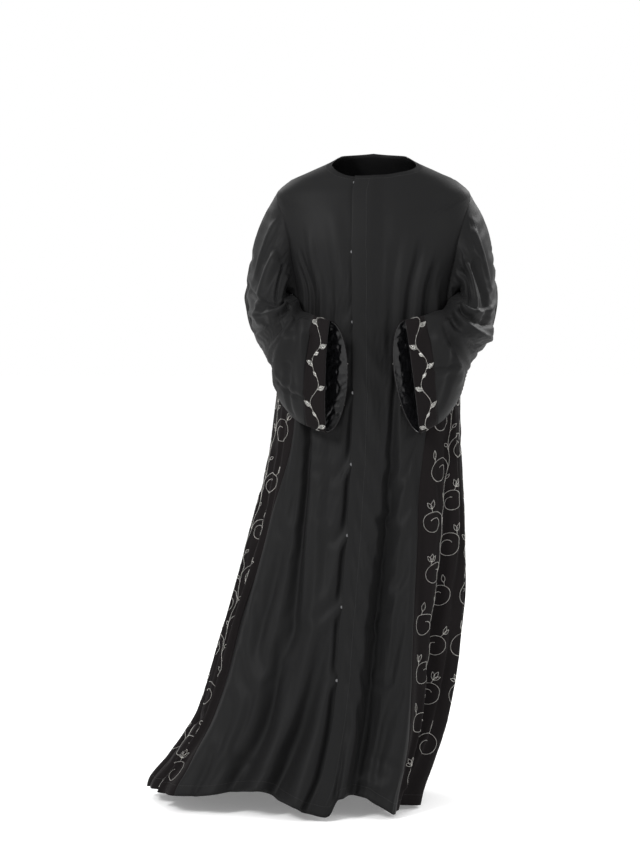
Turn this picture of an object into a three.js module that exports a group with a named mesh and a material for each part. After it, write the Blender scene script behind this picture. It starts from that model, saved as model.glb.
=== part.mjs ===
// A full-length open-front abaya, hollow and posed as it is worn, with both forearms held across the front.
// Millimetres, +Z up, +X to the right of someone facing the front, -Y towards them.
// Heights in the tables are above the floor line; the whole cloak is then lowered so that the
// origin lies between the shoulders, where the wearer carries it.
import * as THREE from "three";

// ---- driving dimensions ----
const HOLD_HEIGHT = 1370; // the shoulders' bearing height above the floor line
const CLOTH = 2; // wall of every outer panel
const FACING_CLOTH = 1.2; // wall of the satin cuff facings
const SEAM_GAP = 0.3; // between pieces that are sewn together
const UNDERLAP = 24; // how far the right front runs on under the left front's edge
const PLACKET = 36; // width of the left front's raised edge
const PLACKET_EASE = 34; // over which the raised edge settles back onto the figure
const CUFF_WIDTH = 48; // of the embroidered band at each sleeve end
const SQUARENESS = 2.35; // of a level section, where 2 is an ellipse

const SNAP = { diameter: 6.5, height: 2, inset: 2.25, lowest: 288, pitch: 148, count: 8, sides: 16 };
const SNAP_GAP = 0.5; // between a snap and the cloth on either side of it

// ---- the body: level sections, widest and deepest reach of the cloth ----
// axis is the x of the front-most point; left is the wearer's right, as seen from the front.
const SECTIONS = [
  { z: 0, axis: -100, left: -488, right: 88, front: -240, back: 215 },
  { z: 40, axis: -95, left: -482, right: 96, front: -235, back: 212 },
  { z: 100, axis: -86, left: -438, right: 118, front: -222, back: 205 },
  { z: 200, axis: -72, left: -374, right: 150, front: -205, back: 195 },
  { z: 400, axis: -50, left: -314, right: 180, front: -182, back: 178 },
  { z: 600, axis: -34, left: -260, right: 192, front: -162, back: 165 },
  { z: 800, axis: -22, left: -222, right: 184, front: -150, back: 152 },
  { z: 950, axis: -14, left: -205, right: 180, front: -146, back: 138 },
  { z: 1085, axis: -8, left: -185, right: 172, front: -146, back: 128 },
  { z: 1190, axis: -5, left: -210, right: 200, front: -140, back: 126 },
  { z: 1250, axis: -4, left: -216, right: 208, front: -128, back: 122 },
  { z: 1303, axis: -4, left: -213, right: 205, front: -108, back: 112 },
  { z: 1335, axis: -4, left: -182, right: 174, front: -92, back: 100 },
  { z: 1350, axis: -4, left: -149, right: 141, front: -86, back: 92 },
  { z: 1388, axis: -3, left: -74, right: 68, front: -70, back: 66 },
  { z: 1400, axis: -2, left: -66, right: 62, front: -62, back: 60 },
];

// ---- seam lines: turn about the axis in degrees, 0 at the front and 90 at the wearer's left ----
const SEAMS = [
  { z: 0, opening: -8.5, leftFront: 42, leftBack: 111, rightBack: -120, rightFront: -51 },
  { z: 100, opening: -4.5, leftFront: 40, leftBack: 110, rightBack: -119, rightFront: -54 },
  { z: 200, opening: -4, leftFront: 35, leftBack: 109, rightBack: -117, rightFront: -59 },
  { z: 400, opening: -6, leftFront: 30, leftBack: 107, rightBack: -115, rightFront: -59 },
  { z: 600, opening: -7, leftFront: 30, leftBack: 108, rightBack: -115, rightFront: -55 },
  { z: 800, opening: -8.5, leftFront: 36, leftBack: 111, rightBack: -116, rightFront: -46 },
  { z: 950, opening: -11, leftFront: 46, leftBack: 116, rightBack: -119, rightFront: -49 },
  { z: 1085, opening: -14, leftFront: 58, leftBack: 121, rightBack: -121, rightFront: -58 },
  { z: 1190, opening: -13.5, leftFront: 55, leftBack: 124, rightBack: -124, rightFront: -55 },
  { z: 1232, opening: -13, leftFront: 58, leftBack: 121, rightBack: -121, rightFront: -58 },
  { z: 1262, opening: -13, leftFront: 63, leftBack: 116, rightBack: -116, rightFront: -63 },
  { z: 1283, opening: -13, leftFront: 71, leftBack: 109, rightBack: -109, rightFront: -71 },
  { z: 1297, opening: -13, leftFront: 81, leftBack: 99, rightBack: -99, rightFront: -81 },
  { z: 1303, opening: -13, leftFront: 90, leftBack: 90, rightBack: -90, rightFront: -90 },
  { z: 1400, opening: -15, leftFront: 90, leftBack: 90, rightBack: -90, rightFront: -90 },
];

// ---- hem: how far its edge hangs above the floor line, round the body ----
const HEM = [
  { turn: -180, lift: 2 },
  { turn: -131, lift: 12 },
  { turn: -97, lift: 30 },
  { turn: -78, lift: 38 },
  { turn: -49, lift: 42 },
  { turn: -32, lift: 57 },
  { turn: -24, lift: 67 },
  { turn: -17, lift: 46 },
  { turn: -11, lift: 34 },
  { turn: -7, lift: 20 },
  { turn: -1, lift: 12 },
  { turn: 4, lift: 46 },
  { turn: 9, lift: 54 },
  { turn: 21, lift: 50 },
  { turn: 28, lift: 35 },
  { turn: 38, lift: 13 },
  { turn: 56, lift: 17 },
  { turn: 70, lift: 12 },
  { turn: 80, lift: 24 },
  { turn: 97, lift: 30 },
  { turn: 122, lift: 6 },
  { turn: 180, lift: 2 },
];

// ---- neckline: its height round the neck ----
const NECKLINE = [
  { turn: -180, z: 1398 },
  { turn: -90, z: 1386 },
  { turn: -45, z: 1362 },
  { turn: -10, z: 1338 },
  { turn: 25, z: 1350 },
  { turn: 90, z: 1386 },
  { turn: 180, z: 1398 },
];

// ---- the largest folds of the body ----
// turn at the top, middle and hem; width is half the fold in degrees at the top and hem;
// depth is out (+) or in (-) at the hem; from and full are the heights where it starts and is whole.
const FOLDS = [
  { top: -36, mid: -29, hem: -33, widthTop: 3, widthHem: 9, depth: -26, from: 1200, full: 500 },
  { top: -27, mid: -18, hem: -25, widthTop: 4, widthHem: 7, depth: 10, from: 900, full: 200 },
  { top: -17, mid: -12, hem: -20, widthTop: 3, widthHem: 6, depth: -28, from: 420, full: 60 },
  { top: -10.5, mid: -7, hem: -10.5, widthTop: 3, widthHem: 6, depth: 16, from: 450, full: 80 },
  { top: 16, mid: 13, hem: 15, widthTop: 4, widthHem: 11, depth: -34, from: 1150, full: 300 },
  { top: 26, mid: 27, hem: 36, widthTop: 7, widthHem: 11, depth: 22, from: 1100, full: 300 },
  { top: 54, mid: 49, hem: 54, widthTop: 6, widthHem: 9, depth: -26, from: 1000, full: 300 },
  { top: 69, mid: 67, hem: 69, widthTop: 6, widthHem: 9, depth: 16, from: 900, full: 250 },
  { top: 93, mid: 90, hem: 95, widthTop: 7, widthHem: 10, depth: -22, from: 950, full: 300 },
  { top: 115, mid: 115, hem: 116, widthTop: 7, widthHem: 10, depth: 26, from: 1000, full: 250 },
  { top: 131, mid: 133, hem: 132, widthTop: 7, widthHem: 10, depth: -30, from: 1150, full: 250 },
  { top: 150, mid: 151, hem: 149, widthTop: 8, widthHem: 11, depth: 30, from: 1120, full: 300 },
  { top: 169, mid: 172, hem: 168, widthTop: 7, widthHem: 10, depth: -34, from: 1180, full: 250 },
  { top: 195, mid: 195, hem: 193, widthTop: 8, widthHem: 10, depth: 26, from: 1050, full: 300 },
  { top: 214, mid: 212, hem: 211, widthTop: 7, widthHem: 10, depth: -32, from: 1160, full: 250 },
  { top: 231, mid: 228, hem: 228, widthTop: 8, widthHem: 10, depth: 26, from: 1000, full: 250 },
  { top: 247, mid: 243, hem: 245, widthTop: 7, widthHem: 9, depth: -24, from: 950, full: 250 },
  { top: -93, mid: -98, hem: -96, widthTop: 7, widthHem: 8, depth: 12, from: 800, full: 200 },
  { top: -65, mid: -71, hem: -73, widthTop: 6, widthHem: 8, depth: -20, from: 900, full: 200 },
  { top: -49, mid: -51, hem: -53, widthTop: 6, widthHem: 9, depth: 14, from: 800, full: 200 },
];
const FOLD_HEIGHTS = { top: 850, mid: 400, hem: 40 };

// ---- sleeves: rings fanned round the crook of the arm, from past the shoulder to the cuff's edge ----
// outer runs over the shoulder, round the elbow and along the sleeve's low edge; inner from the armpit
// through the crook to the top of the cuff; front and back are the faces between them.
const LEFT_SLEEVE = [
  { outer: [236, 4, 1240], front: [190, -106, 1155], inner: [186, -28, 1088], back: [203, 98, 1165] },
  { outer: [255, 14, 1160], front: [208, -120, 1105], inner: [176, -60, 1078], back: [226, 100, 1100] },
  { outer: [260, 32, 1070], front: [216, -134, 1064], inner: [162, -86, 1071], back: [226, 88, 1035] },
  { outer: [241, 28, 1002], front: [210, -148, 1020], inner: [152, -100, 1066], back: [206, 46, 1005] },
  { outer: [199, -16, 944], front: [182, -164, 986], inner: [142, -116, 1061], back: [178, -46, 995] },
  { outer: [176, -76, 874], front: [160, -180, 962], inner: [126, -142, 1055], back: [149, -100, 960] },
  { outer: [142, -130, 828], front: [127, -200, 944], inner: [102, -178, 1047], back: [114, -128, 930] },
  { outer: [90, -174, 800], front: [73, -224, 928], inner: [57, -210, 1036], back: [36, -160, 922] },
];
const RIGHT_SLEEVE = [
  { outer: [-246, 4, 1236], front: [-200, -106, 1153], inner: [-200, -28, 1088], back: [-213, 98, 1165] },
  { outer: [-267, 14, 1158], front: [-220, -120, 1103], inner: [-191, -60, 1077], back: [-238, 100, 1100] },
  { outer: [-271, 30, 1076], front: [-228, -134, 1060], inner: [-177, -86, 1070], back: [-238, 88, 1035] },
  { outer: [-252, 26, 1008], front: [-222, -148, 1014], inner: [-166, -102, 1064], back: [-218, 46, 1005] },
  { outer: [-217, -16, 942], front: [-202, -166, 980], inner: [-156, -118, 1057], back: [-196, -48, 992] },
  { outer: [-203, -80, 870], front: [-182, -184, 958], inner: [-142, -144, 1050], back: [-166, -104, 957] },
  { outer: [-163, -148, 824], front: [-148, -204, 942], inner: [-124, -180, 1043], back: [-138, -136, 925] },
  { outer: [-105, -182, 802], front: [-108, -228, 930], inner: [-97, -212, 1035], back: [-60, -166, 916] },
];

// ---- the largest folds of a sleeve ----
// Each runs straight from one spot to another. round is the share of the way round the sleeve, from its
// outer edge over the front face to the crook at 0.5; along is the share of its length from the armhole.
const LEFT_SLEEVE_FOLDS = [
  { round: 0.3, along: 0.56, toRound: 0.12, toAlong: 0.48, width: 30, depth: 12 },
  { round: 0.3, along: 0.68, toRound: 0.1, toAlong: 0.62, width: 26, depth: -10 },
  { round: 0.32, along: 0.76, toRound: 0.16, toAlong: 0.74, width: 30, depth: 9 },
  { round: 0.2, along: 0.16, toRound: 0.2, toAlong: 0.44, width: 28, depth: -12 },
  { round: 0.7, along: 0.5, toRound: 0.88, toAlong: 0.42, width: 28, depth: -9 },
  { round: 0.74, along: 0.28, toRound: 0.92, toAlong: 0.24, width: 28, depth: 9 },
];
const RIGHT_SLEEVE_FOLDS = [
  { round: 0.3, along: 0.54, toRound: 0.1, toAlong: 0.54, width: 28, depth: -12 },
  { round: 0.3, along: 0.66, toRound: 0.08, toAlong: 0.7, width: 30, depth: 12 },
  { round: 0.2, along: 0.14, toRound: 0.18, toAlong: 0.42, width: 30, depth: 12 },
  { round: 0.7, along: 0.44, toRound: 0.86, toAlong: 0.46, width: 28, depth: -9 },
  { round: 0.72, along: 0.26, toRound: 0.9, toAlong: 0.3, width: 28, depth: 9 },
];

// ---- how finely each piece is faceted ----
// row heights as shares of the way from hem to neckline; the armhole lies between UNDERARM_ROW and CAP_ROW
const ROWS = [
  0, 0.035, 0.08, 0.14, 0.21, 0.29, 0.37, 0.45, 0.53, 0.61, 0.69, 0.745, 0.783,
  0.81, 0.838, 0.865, 0.888, 0.908, 0.924, 0.934, 0.94, 0.957, 0.976, 1,
];
const UNDERARM_ROW = 12;
const CAP_ROW = 20;
const COLUMNS = { front: 11, back: 22, side: 10 };
// rows of a sleeve as shares of its length above the cuff; the facing starts at FACING_ROW
const SLEEVE_ROWS = [0, 0.05, 0.12, 0.2, 0.28, 0.37, 0.46, 0.55, 0.64, 0.73, 0.82, 0.91, 1];
const FACING_ROW = 11;
const CUFF_ROWS = [0, 0.5, 1];

const radians = THREE.MathUtils.degToRad;
const clamp = THREE.MathUtils.clamp;
const lerp = THREE.MathUtils.lerp;
const smooth = (share) => THREE.MathUtils.smoothstep(share, 0, 1);
const range = (count) => Array.from({ length: count + 1 }, (_, i) => i / count);

// A smooth curve through one column of a table, never beyond its neighbours, held level past its ends.
function column(rows, key, name) {
  const at = rows.map((row) => row[key]);
  const value = rows.map((row) => row[name]);
  const rise = at.slice(1).map((_, i) => (value[i + 1] - value[i]) / (at[i + 1] - at[i]));
  const slope = at.map((_, i) => {
    const [before, after] = [rise[Math.max(i - 1, 0)], rise[Math.min(i, rise.length - 1)]];
    return before * after > 0 ? (2 * before * after) / (before + after) : 0;
  });
  return (x) => {
    if (x <= at[0]) return value[0];
    if (x >= at.at(-1)) return value.at(-1);
    const i = at.findIndex((a) => a > x) - 1;
    const span = at[i + 1] - at[i];
    const t = (x - at[i]) / span;
    const risen = t * t * (3 - 2 * t);
    const leaving = t * (1 - t) * (1 - t);
    const arriving = -t * t * (1 - t);
    return lerp(value[i], value[i + 1], risen) + span * (leaving * slope[i] + arriving * slope[i + 1]);
  };
}

const columns = (rows, key) =>
  Object.fromEntries(Object.keys(rows[0]).filter((n) => n !== key).map((n) => [n, column(rows, key, n)]));

const section = columns(SECTIONS, "z");
const seam = columns(SEAMS, "z");
const hemLift = column(HEM, "turn", "lift");
const neckHeight = column(NECKLINE, "turn", "z");
const wrap = (turn) => ((((turn + 180) % 360) + 360) % 360) - 180;

// ---- the body's surface ----
function sectionPoint(turn, z) {
  const [s, c] = [Math.sin(radians(turn)), Math.cos(radians(turn))];
  const axis = section.axis(z);
  const reachX = s > 0 ? section.right(z) - axis : axis - section.left(z);
  const reachY = c > 0 ? -section.front(z) : section.back(z);
  const reach = (Math.abs(s) ** SQUARENESS + Math.abs(c) ** SQUARENESS) ** (-1 / SQUARENESS);
  return new THREE.Vector2(axis + reachX * s * reach, -reachY * c * reach);
}

function foldReach(turn, z) {
  let reach = 0;
  for (const fold of FOLDS) {
    const { top, mid, hem } = FOLD_HEIGHTS;
    const at =
      z > mid
        ? lerp(fold.mid, fold.top, clamp((z - mid) / (top - mid), 0, 1.2))
        : lerp(fold.hem, fold.mid, clamp((z - hem) / (mid - hem), 0, 1));
    const width = lerp(fold.widthHem, fold.widthTop, clamp(z / top, 0, 1));
    const across = wrap(turn - at) / width;
    if (Math.abs(across) >= 1) continue;
    const grown = smooth(clamp((fold.from - z) / (fold.from - fold.full), 0, 1));
    reach += fold.depth * grown * Math.cos((across * Math.PI) / 2) ** 2;
  }
  return reach;
}

const TURN_STEP = 0.4;
const HEIGHT_STEP = 2;

function bodyPoint(turn, z) {
  const here = sectionPoint(turn, z);
  const along = sectionPoint(turn + TURN_STEP, z).sub(sectionPoint(turn - TURN_STEP, z)).normalize();
  const reach = foldReach(turn, z);
  return new THREE.Vector3(here.x + along.y * reach, here.y - along.x * reach, z);
}

function bodyNormal(turn, z) {
  const across = bodyPoint(turn + TURN_STEP, z).sub(bodyPoint(turn - TURN_STEP, z));
  const up = bodyPoint(turn, z + HEIGHT_STEP).sub(bodyPoint(turn, z - HEIGHT_STEP));
  return across.cross(up).normalize();
}

// Millimetres along the section for each degree of turn.
const perDegree = (turn, z) =>
  bodyPoint(turn + TURN_STEP, z).distanceTo(bodyPoint(turn - TURN_STEP, z)) / (2 * TURN_STEP);

function rowHeight(share, turn) {
  const low = hemLift(wrap(turn));
  return low + (neckHeight(wrap(turn)) - low) * share;
}

// ---- walls ----
// A wall from a grid of outer points with their outward normals. A closed one joins its last column to its first.
// Both faces, and the edges that meet along a seam, are split along the same diagonals.
function wall(outer, normals, thickness, closed) {
  const rows = outer.length;
  const count = outer[0].length;
  const inner = outer.map((row, j) => row.map((p, i) => p.clone().addScaledVector(normals[j][i], -thickness)));
  const positions = [outer, inner].flat(2).flatMap((p) => p.toArray());
  const indices = [];
  const quad = (a, b, c, d) => indices.push(a, b, c, a, c, d);
  const out = (j, i) => j * count + (i % count);
  const into = (j, i) => rows * count + out(j, i);
  const lastRow = rows - 1;
  const lastColumn = closed ? count : count - 1;
  for (let i = 0; i < lastColumn; i++) {
    for (let j = 0; j < lastRow; j++) {
      quad(out(j, i), out(j, i + 1), out(j + 1, i + 1), out(j + 1, i));
      quad(into(j, i), into(j + 1, i), into(j + 1, i + 1), into(j, i + 1));
    }
    quad(out(0, i), into(0, i), into(0, i + 1), out(0, i + 1));
    quad(out(lastRow, i), out(lastRow, i + 1), into(lastRow, i + 1), into(lastRow, i));
  }
  for (let j = 0; j < lastRow && !closed; j++) {
    quad(out(j, 0), out(j + 1, 0), into(j + 1, 0), into(j, 0));
    quad(out(j, lastColumn), into(j, lastColumn), into(j + 1, lastColumn), out(j + 1, lastColumn));
  }
  const geometry = new THREE.BufferGeometry();
  geometry.setAttribute("position", new THREE.Float32BufferAttribute(positions, 3));
  geometry.setIndex(indices);
  return geometry;
}

// Turns every triangle round where the grid ran the other way about the wall.
function facedOut(geometry) {
  const position = geometry.attributes.position;
  const index = geometry.index.array;
  const [a, b, c] = [new THREE.Vector3(), new THREE.Vector3(), new THREE.Vector3()];
  let volume = 0;
  for (let i = 0; i < index.length; i += 3) {
    a.fromBufferAttribute(position, index[i]);
    b.fromBufferAttribute(position, index[i + 1]);
    c.fromBufferAttribute(position, index[i + 2]);
    volume += a.dot(b.cross(c));
  }
  if (volume < 0) {
    for (let i = 0; i < index.length; i += 3) [index[i + 1], index[i + 2]] = [index[i + 2], index[i + 1]];
  }
  geometry.computeVertexNormals();
  return geometry;
}

// ---- the body's panels ----
// The turn at which a row crosses a seam line: the row's height depends on the turn, the seam's turn on the height.
function turnOn(line, share) {
  let turn = line(rowHeight(share, 0));
  for (let pass = 0; pass < 8; pass++) turn = line(rowHeight(share, turn));
  return turn;
}

// The same, moved along the row by a few millimetres.
function turnBeside(line, share, distance) {
  const turn = turnOn(line, share);
  return turn + distance / perDegree(turn, rowHeight(share, turn));
}

const spread = (start, end, steps) => range(steps).map((t) => lerp(start, end, t));

// turnsAt gives the turns of a row's columns; liftAt raises each column off the body's surface.
function bodyPanel(turnsAt, lastRow = ROWS.length - 1, liftAt = () => 0) {
  const outer = [];
  const normals = [];
  for (const share of ROWS.slice(0, lastRow + 1)) {
    const turns = turnsAt(share);
    normals.push(turns.map((turn) => bodyNormal(turn, rowHeight(share, turn))));
    outer.push(
      turns.map((turn, i) => bodyPoint(turn, rowHeight(share, turn)).addScaledVector(normals.at(-1)[i], liftAt(i))),
    );
  }
  return { outer, normals };
}

// The two fronts share their columns where the left one lies over the right.
const EDGE_COLUMNS = [0, UNDERLAP, PLACKET, PLACKET + PLACKET_EASE / 2, PLACKET + PLACKET_EASE];
const RAISED = CLOTH + SNAP.height + 2 * SNAP_GAP;
const raisedAt = (i) => {
  const beyond = ((EDGE_COLUMNS[i] ?? Infinity) - PLACKET) / PLACKET_EASE;
  return RAISED * (1 - smooth(clamp(beyond, 0, 1)));
};
const halfGap = SEAM_GAP / 2;

const leftFrontGrid = bodyPanel(
  (share) => {
    const edge = EDGE_COLUMNS.map((distance) => turnBeside(seam.opening, share, distance));
    const rest = spread(edge.at(-1), turnBeside(seam.leftFront, share, -halfGap), COLUMNS.front - edge.length + 1);
    return [...edge, ...rest.slice(1)];
  },
  ROWS.length - 1,
  raisedAt,
);
const rightFrontGrid = bodyPanel((share) => [
  ...spread(turnBeside(seam.rightFront, share, halfGap), turnOn(seam.opening, share), COLUMNS.front),
  turnBeside(seam.opening, share, UNDERLAP),
]);
const backGrid = bodyPanel((share) =>
  spread(
    turnBeside(seam.leftBack, share, halfGap),
    turnBeside(seam.rightBack, share, -halfGap) + 360,
    COLUMNS.back,
  ),
);
const sideGrid = (from, to) =>
  bodyPanel(
    (share) => spread(turnBeside(from, share, halfGap), turnBeside(to, share, -halfGap), COLUMNS.side),
    UNDERARM_ROW,
  );
const leftSideGrid = sideGrid(seam.leftFront, seam.leftBack);
const rightSideGrid = sideGrid(seam.rightBack, seam.rightFront);

// ---- sleeves ----
// The armhole's loop: from the shoulder down the front's edge, across the side panel's top, up the back's edge.
// Where two panels meet, the loop takes the middle of their corners.
function armhole(front, frontColumn, side, sideRuns, behind, behindColumn) {
  const spot = (grid, j, i) => ({ point: grid.outer[j].at(i), normal: grid.normals[j].at(i) });
  const rows = range(CAP_ROW - UNDERARM_ROW).map((_, i) => UNDERARM_ROW + i);
  const down = rows.map((j) => spot(front, j, frontColumn)).reverse();
  const across = side.outer.at(-1).map((_, i) => spot(side, UNDERARM_ROW, i));
  if (sideRuns < 0) across.reverse();
  const up = rows.map((j) => spot(behind, j, behindColumn));
  const corner = (a, b) => ({
    point: a.point.clone().lerp(b.point, 0.5),
    normal: a.normal.clone().add(b.normal).normalize(),
  });
  return [
    corner(up.at(-1), down[0]),
    ...down.slice(1, -1),
    corner(down.at(-1), across[0]),
    ...across.slice(1, -1),
    corner(across.at(-1), up[0]),
    ...up.slice(1, -1),
  ];
}

// How far round a closed loop each of its points lies, as a share of its length.
function sharesRound(points) {
  const steps = points.map((point, i) => point.distanceTo(points[(i + 1) % points.length]));
  const total = steps.reduce((sum, step) => sum + step, 0);
  let gone = 0;
  return steps.map((step) => {
    const share = gone / total;
    gone += step;
    return share;
  });
}

// Moves a point out from the figure until it clears the body's surface.
function clearOfBody(point, clearance) {
  const axis = section.axis(point.z);
  const reachX = point.x > axis ? section.right(point.z) - axis : axis - section.left(point.z);
  const reachY = point.y < 0 ? -section.front(point.z) : section.back(point.z);
  const [u, v] = [(point.x - axis) / reachX, point.y / reachY];
  const at = (Math.abs(u) ** SQUARENESS + Math.abs(v) ** SQUARENESS) ** (1 / SQUARENESS);
  const turn = THREE.MathUtils.radToDeg(Math.atan2(u, -v));
  const wanted = 1 + (clearance + Math.max(foldReach(turn, point.z), 0)) / Math.hypot(u * reachX, v * reachY) * at;
  if (at >= wanted) return point;
  return point.set(axis + (u * reachX * wanted) / at, (v * reachY * wanted) / at, point.z);
}

// A sleeve's surface: one smooth track for each spot round the armhole, through all the rings of its table.
function sleeveSurface(loop, stations, folds) {
  const count = loop.length;
  const centre = loop.reduce((sum, edge) => sum.add(edge.point), new THREE.Vector3()).divideScalar(count);
  const rim = loop.map(({ point, normal }, i) => {
    const along = loop[(i + 1) % count].point.clone().sub(loop[(i + count - 1) % count].point);
    const into = along.cross(normal).normalize();
    if (into.dot(centre.clone().sub(point)) < 0) into.negate();
    return point.clone().addScaledVector(into, SEAM_GAP);
  });
  const shares = sharesRound(rim);
  const rings = stations.map(({ outer, front, inner, back }) => {
    const [o, f, n, b] = [outer, front, inner, back].map((p) => new THREE.Vector3(...p));
    const middle = o.clone().add(n).multiplyScalar(0.5);
    return shares.map((share) => {
      const [c, s] = [Math.cos(2 * Math.PI * share), Math.sin(2 * Math.PI * share)];
      return middle
        .clone()
        .addScaledVector((c > 0 ? o : n).clone().sub(middle), Math.abs(c))
        .addScaledVector((s > 0 ? f : b).clone().sub(middle), Math.abs(s));
    });
  });
  const tracks = rim.map(
    (point, i) => new THREE.CatmullRomCurve3([point, ...rings.map((ring) => ring[i])], false, "centripetal"),
  );
  const lengths = tracks.map((track) => track.getLength());
  const side = Math.sign(stations[0].outer[0]);
  const girth = rings[3].reduce((sum, p, i) => sum + p.distanceTo(rings[3][(i + 1) % count]), 0);

  const plain = (along, i) => {
    const point = tracks[(i + count) % count].getPointAt(clamp(along, 0, 1));
    return clearOfBody(point, SLEEVE_CLEARANCE * smooth(clamp(along / CLEAR_FROM, 0, 1)));
  };
  const normalOf = (pointAt, along, i) => {
    const round = pointAt(along, i + 1).sub(pointAt(along, i - 1));
    const forward = pointAt(along + ALONG_STEP, i).sub(pointAt(along - ALONG_STEP, i));
    return round.cross(forward).multiplyScalar(side).normalize();
  };
  const folded = (along, i) => {
    const at = (i + count) % count;
    const reach = sleeveFoldReach(folds, shares[at], along, girth, lengths[at]);
    return plain(along, i).addScaledVector(normalOf(plain, along, i), reach);
  };
  return { loop, lengths, pointAt: folded, normalAt: (along, i) => normalOf(folded, along, i) };
}

const ALONG_STEP = 0.015;
const SLEEVE_CLEARANCE = 8; // from the body, once the sleeve has left the armhole
const CLEAR_FROM = 0.2; // share of the sleeve's length over which that opens up

// The folds' reach at one spot; nothing at the armhole and the cuff's edge.
function sleeveFoldReach(folds, round, along, girth, length) {
  const ends = smooth(clamp(along / 0.12, 0, 1)) * smooth(clamp((1 - along) / 0.15, 0, 1));
  let reach = 0;
  for (const fold of folds) {
    const start = new THREE.Vector2(fold.round * girth, fold.along * length);
    const run = new THREE.Vector2(fold.toRound * girth, fold.toAlong * length).sub(start);
    const spot = new THREE.Vector2(round * girth, along * length).sub(start);
    const share = clamp(spot.dot(run) / run.lengthSq(), 0, 1);
    const off = spot.distanceTo(run.multiplyScalar(share)) / fold.width;
    if (off < 1) reach += fold.depth * ends * (1 - 0.5 * share) * Math.cos((off * Math.PI) / 2) ** 2;
  }
  return reach;
}

// Rows of a sleeve given as functions of each track's length; sunk lowers the piece below the outer face.
function sleeveGrid(sleeve, rows, sunk = 0) {
  const outer = [];
  const normals = [];
  for (const alongAt of rows) {
    const shares = sleeve.lengths.map(alongAt);
    normals.push(shares.map((along, i) => (along === 0 ? sleeve.loop[i].normal : sleeve.normalAt(along, i))));
    outer.push(shares.map((along, i) => sleeve.pointAt(along, i).addScaledVector(normals.at(-1)[i], -sunk)));
  }
  return { outer, normals };
}

const sleeveRow = (share) => (length) => share * (1 - (CUFF_WIDTH + SEAM_GAP) / length);
const cuffRow = (share) => (length) => 1 - ((1 - share) * CUFF_WIDTH) / length;

// ---- building the meshes ----
const crepe = new THREE.MeshStandardMaterial({ color: 0x1f1f20, roughness: 0.6, metalness: 0 });
const velvet = new THREE.MeshStandardMaterial({ color: 0x161416, roughness: 0.9, metalness: 0 });
const satin = new THREE.MeshStandardMaterial({ color: 0x0c0c0e, roughness: 0.25, metalness: 0 });
const steel = new THREE.MeshStandardMaterial({ color: 0xb9bcc0, roughness: 0.3, metalness: 1 });

const abaya = new THREE.Group();
abaya.position.z = -HOLD_HEIGHT;

function addPiece(name, geometry, material) {
  const mesh = new THREE.Mesh(facedOut(geometry), material);
  mesh.name = name;
  abaya.add(mesh);
  return mesh;
}

addPiece("front_left", wall(leftFrontGrid.outer, leftFrontGrid.normals, CLOTH, false), crepe);
addPiece("front_right", wall(rightFrontGrid.outer, rightFrontGrid.normals, CLOTH, false), crepe);
addPiece("back", wall(backGrid.outer, backGrid.normals, CLOTH, false), crepe);
addPiece("side_left", wall(leftSideGrid.outer, leftSideGrid.normals, CLOTH, false), velvet);
addPiece("side_right", wall(rightSideGrid.outer, rightSideGrid.normals, CLOTH, false), velvet);

function addSleeve(side, loop, stations, folds) {
  const sleeve = sleeveSurface(loop, stations, folds);
  const sleeveRows = SLEEVE_ROWS.map(sleeveRow);
  const cuffRows = CUFF_ROWS.map(cuffRow);
  const main = sleeveGrid(sleeve, sleeveRows);
  addPiece(`sleeve_${side}`, wall(main.outer, main.normals, CLOTH, true), crepe);
  const cuff = sleeveGrid(sleeve, cuffRows);
  addPiece(`cuff_${side}`, wall(cuff.outer, cuff.normals, CLOTH, true), velvet);
  const facing = sleeveGrid(sleeve, [...sleeveRows.slice(FACING_ROW), ...cuffRows.slice(1)], CLOTH + SEAM_GAP);
  addPiece(`facing_${side}`, wall(facing.outer, facing.normals, FACING_CLOTH, true), satin);
}
addSleeve("left", armhole(leftFrontGrid, -1, leftSideGrid, 1, backGrid, 0), LEFT_SLEEVE, LEFT_SLEEVE_FOLDS);
addSleeve("right", armhole(rightFrontGrid, 0, rightSideGrid, -1, backGrid, -1), RIGHT_SLEEVE, RIGHT_SLEEVE_FOLDS);

// Each snap is a disc on the right front's underlap, beneath the left front's edge.
function addSnap(number, z) {
  const [opening, edge] = [-2, -1];
  const { outer } = rightFrontGrid;
  const row = outer.findIndex((points) => points.at(edge).z > z) - 1;
  const [below, above] = [outer[row], outer[row + 1]];
  const share = (z - below.at(edge).z) / (above.at(edge).z - below.at(edge).z);
  const atOpening = below.at(opening).clone().lerp(above.at(opening), share);
  const atEdge = below.at(edge).clone().lerp(above.at(edge), share);
  const up = above.at(edge).clone().sub(below.at(edge));
  const normal = atEdge.clone().sub(atOpening).cross(up).normalize();
  const disc = new THREE.CylinderGeometry(SNAP.diameter / 2, SNAP.diameter / 2, SNAP.height, SNAP.sides);
  const snap = addPiece(`snap_${number}`, disc, steel);
  snap.quaternion.setFromUnitVectors(new THREE.Vector3(0, 1, 0), normal);
  snap.position.copy(atOpening.lerp(atEdge, SNAP.inset / UNDERLAP));
  snap.position.addScaledVector(normal, SNAP_GAP + SNAP.height / 2);
}
for (let i = 0; i < SNAP.count; i++) addSnap(i + 1, SNAP.lowest + i * SNAP.pitch);

export default abaya;
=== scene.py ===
"""A black open-front abaya with embroidered side panels and cuffs, posed hollow as it is worn.

Metres and degrees, +Z up, +X to the right of someone facing the front. Heights in the tables are above
the floor line, and HOLD_HEIGHT lowers them into the frame, whose origin lies between the shoulders.
"""
import math

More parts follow.
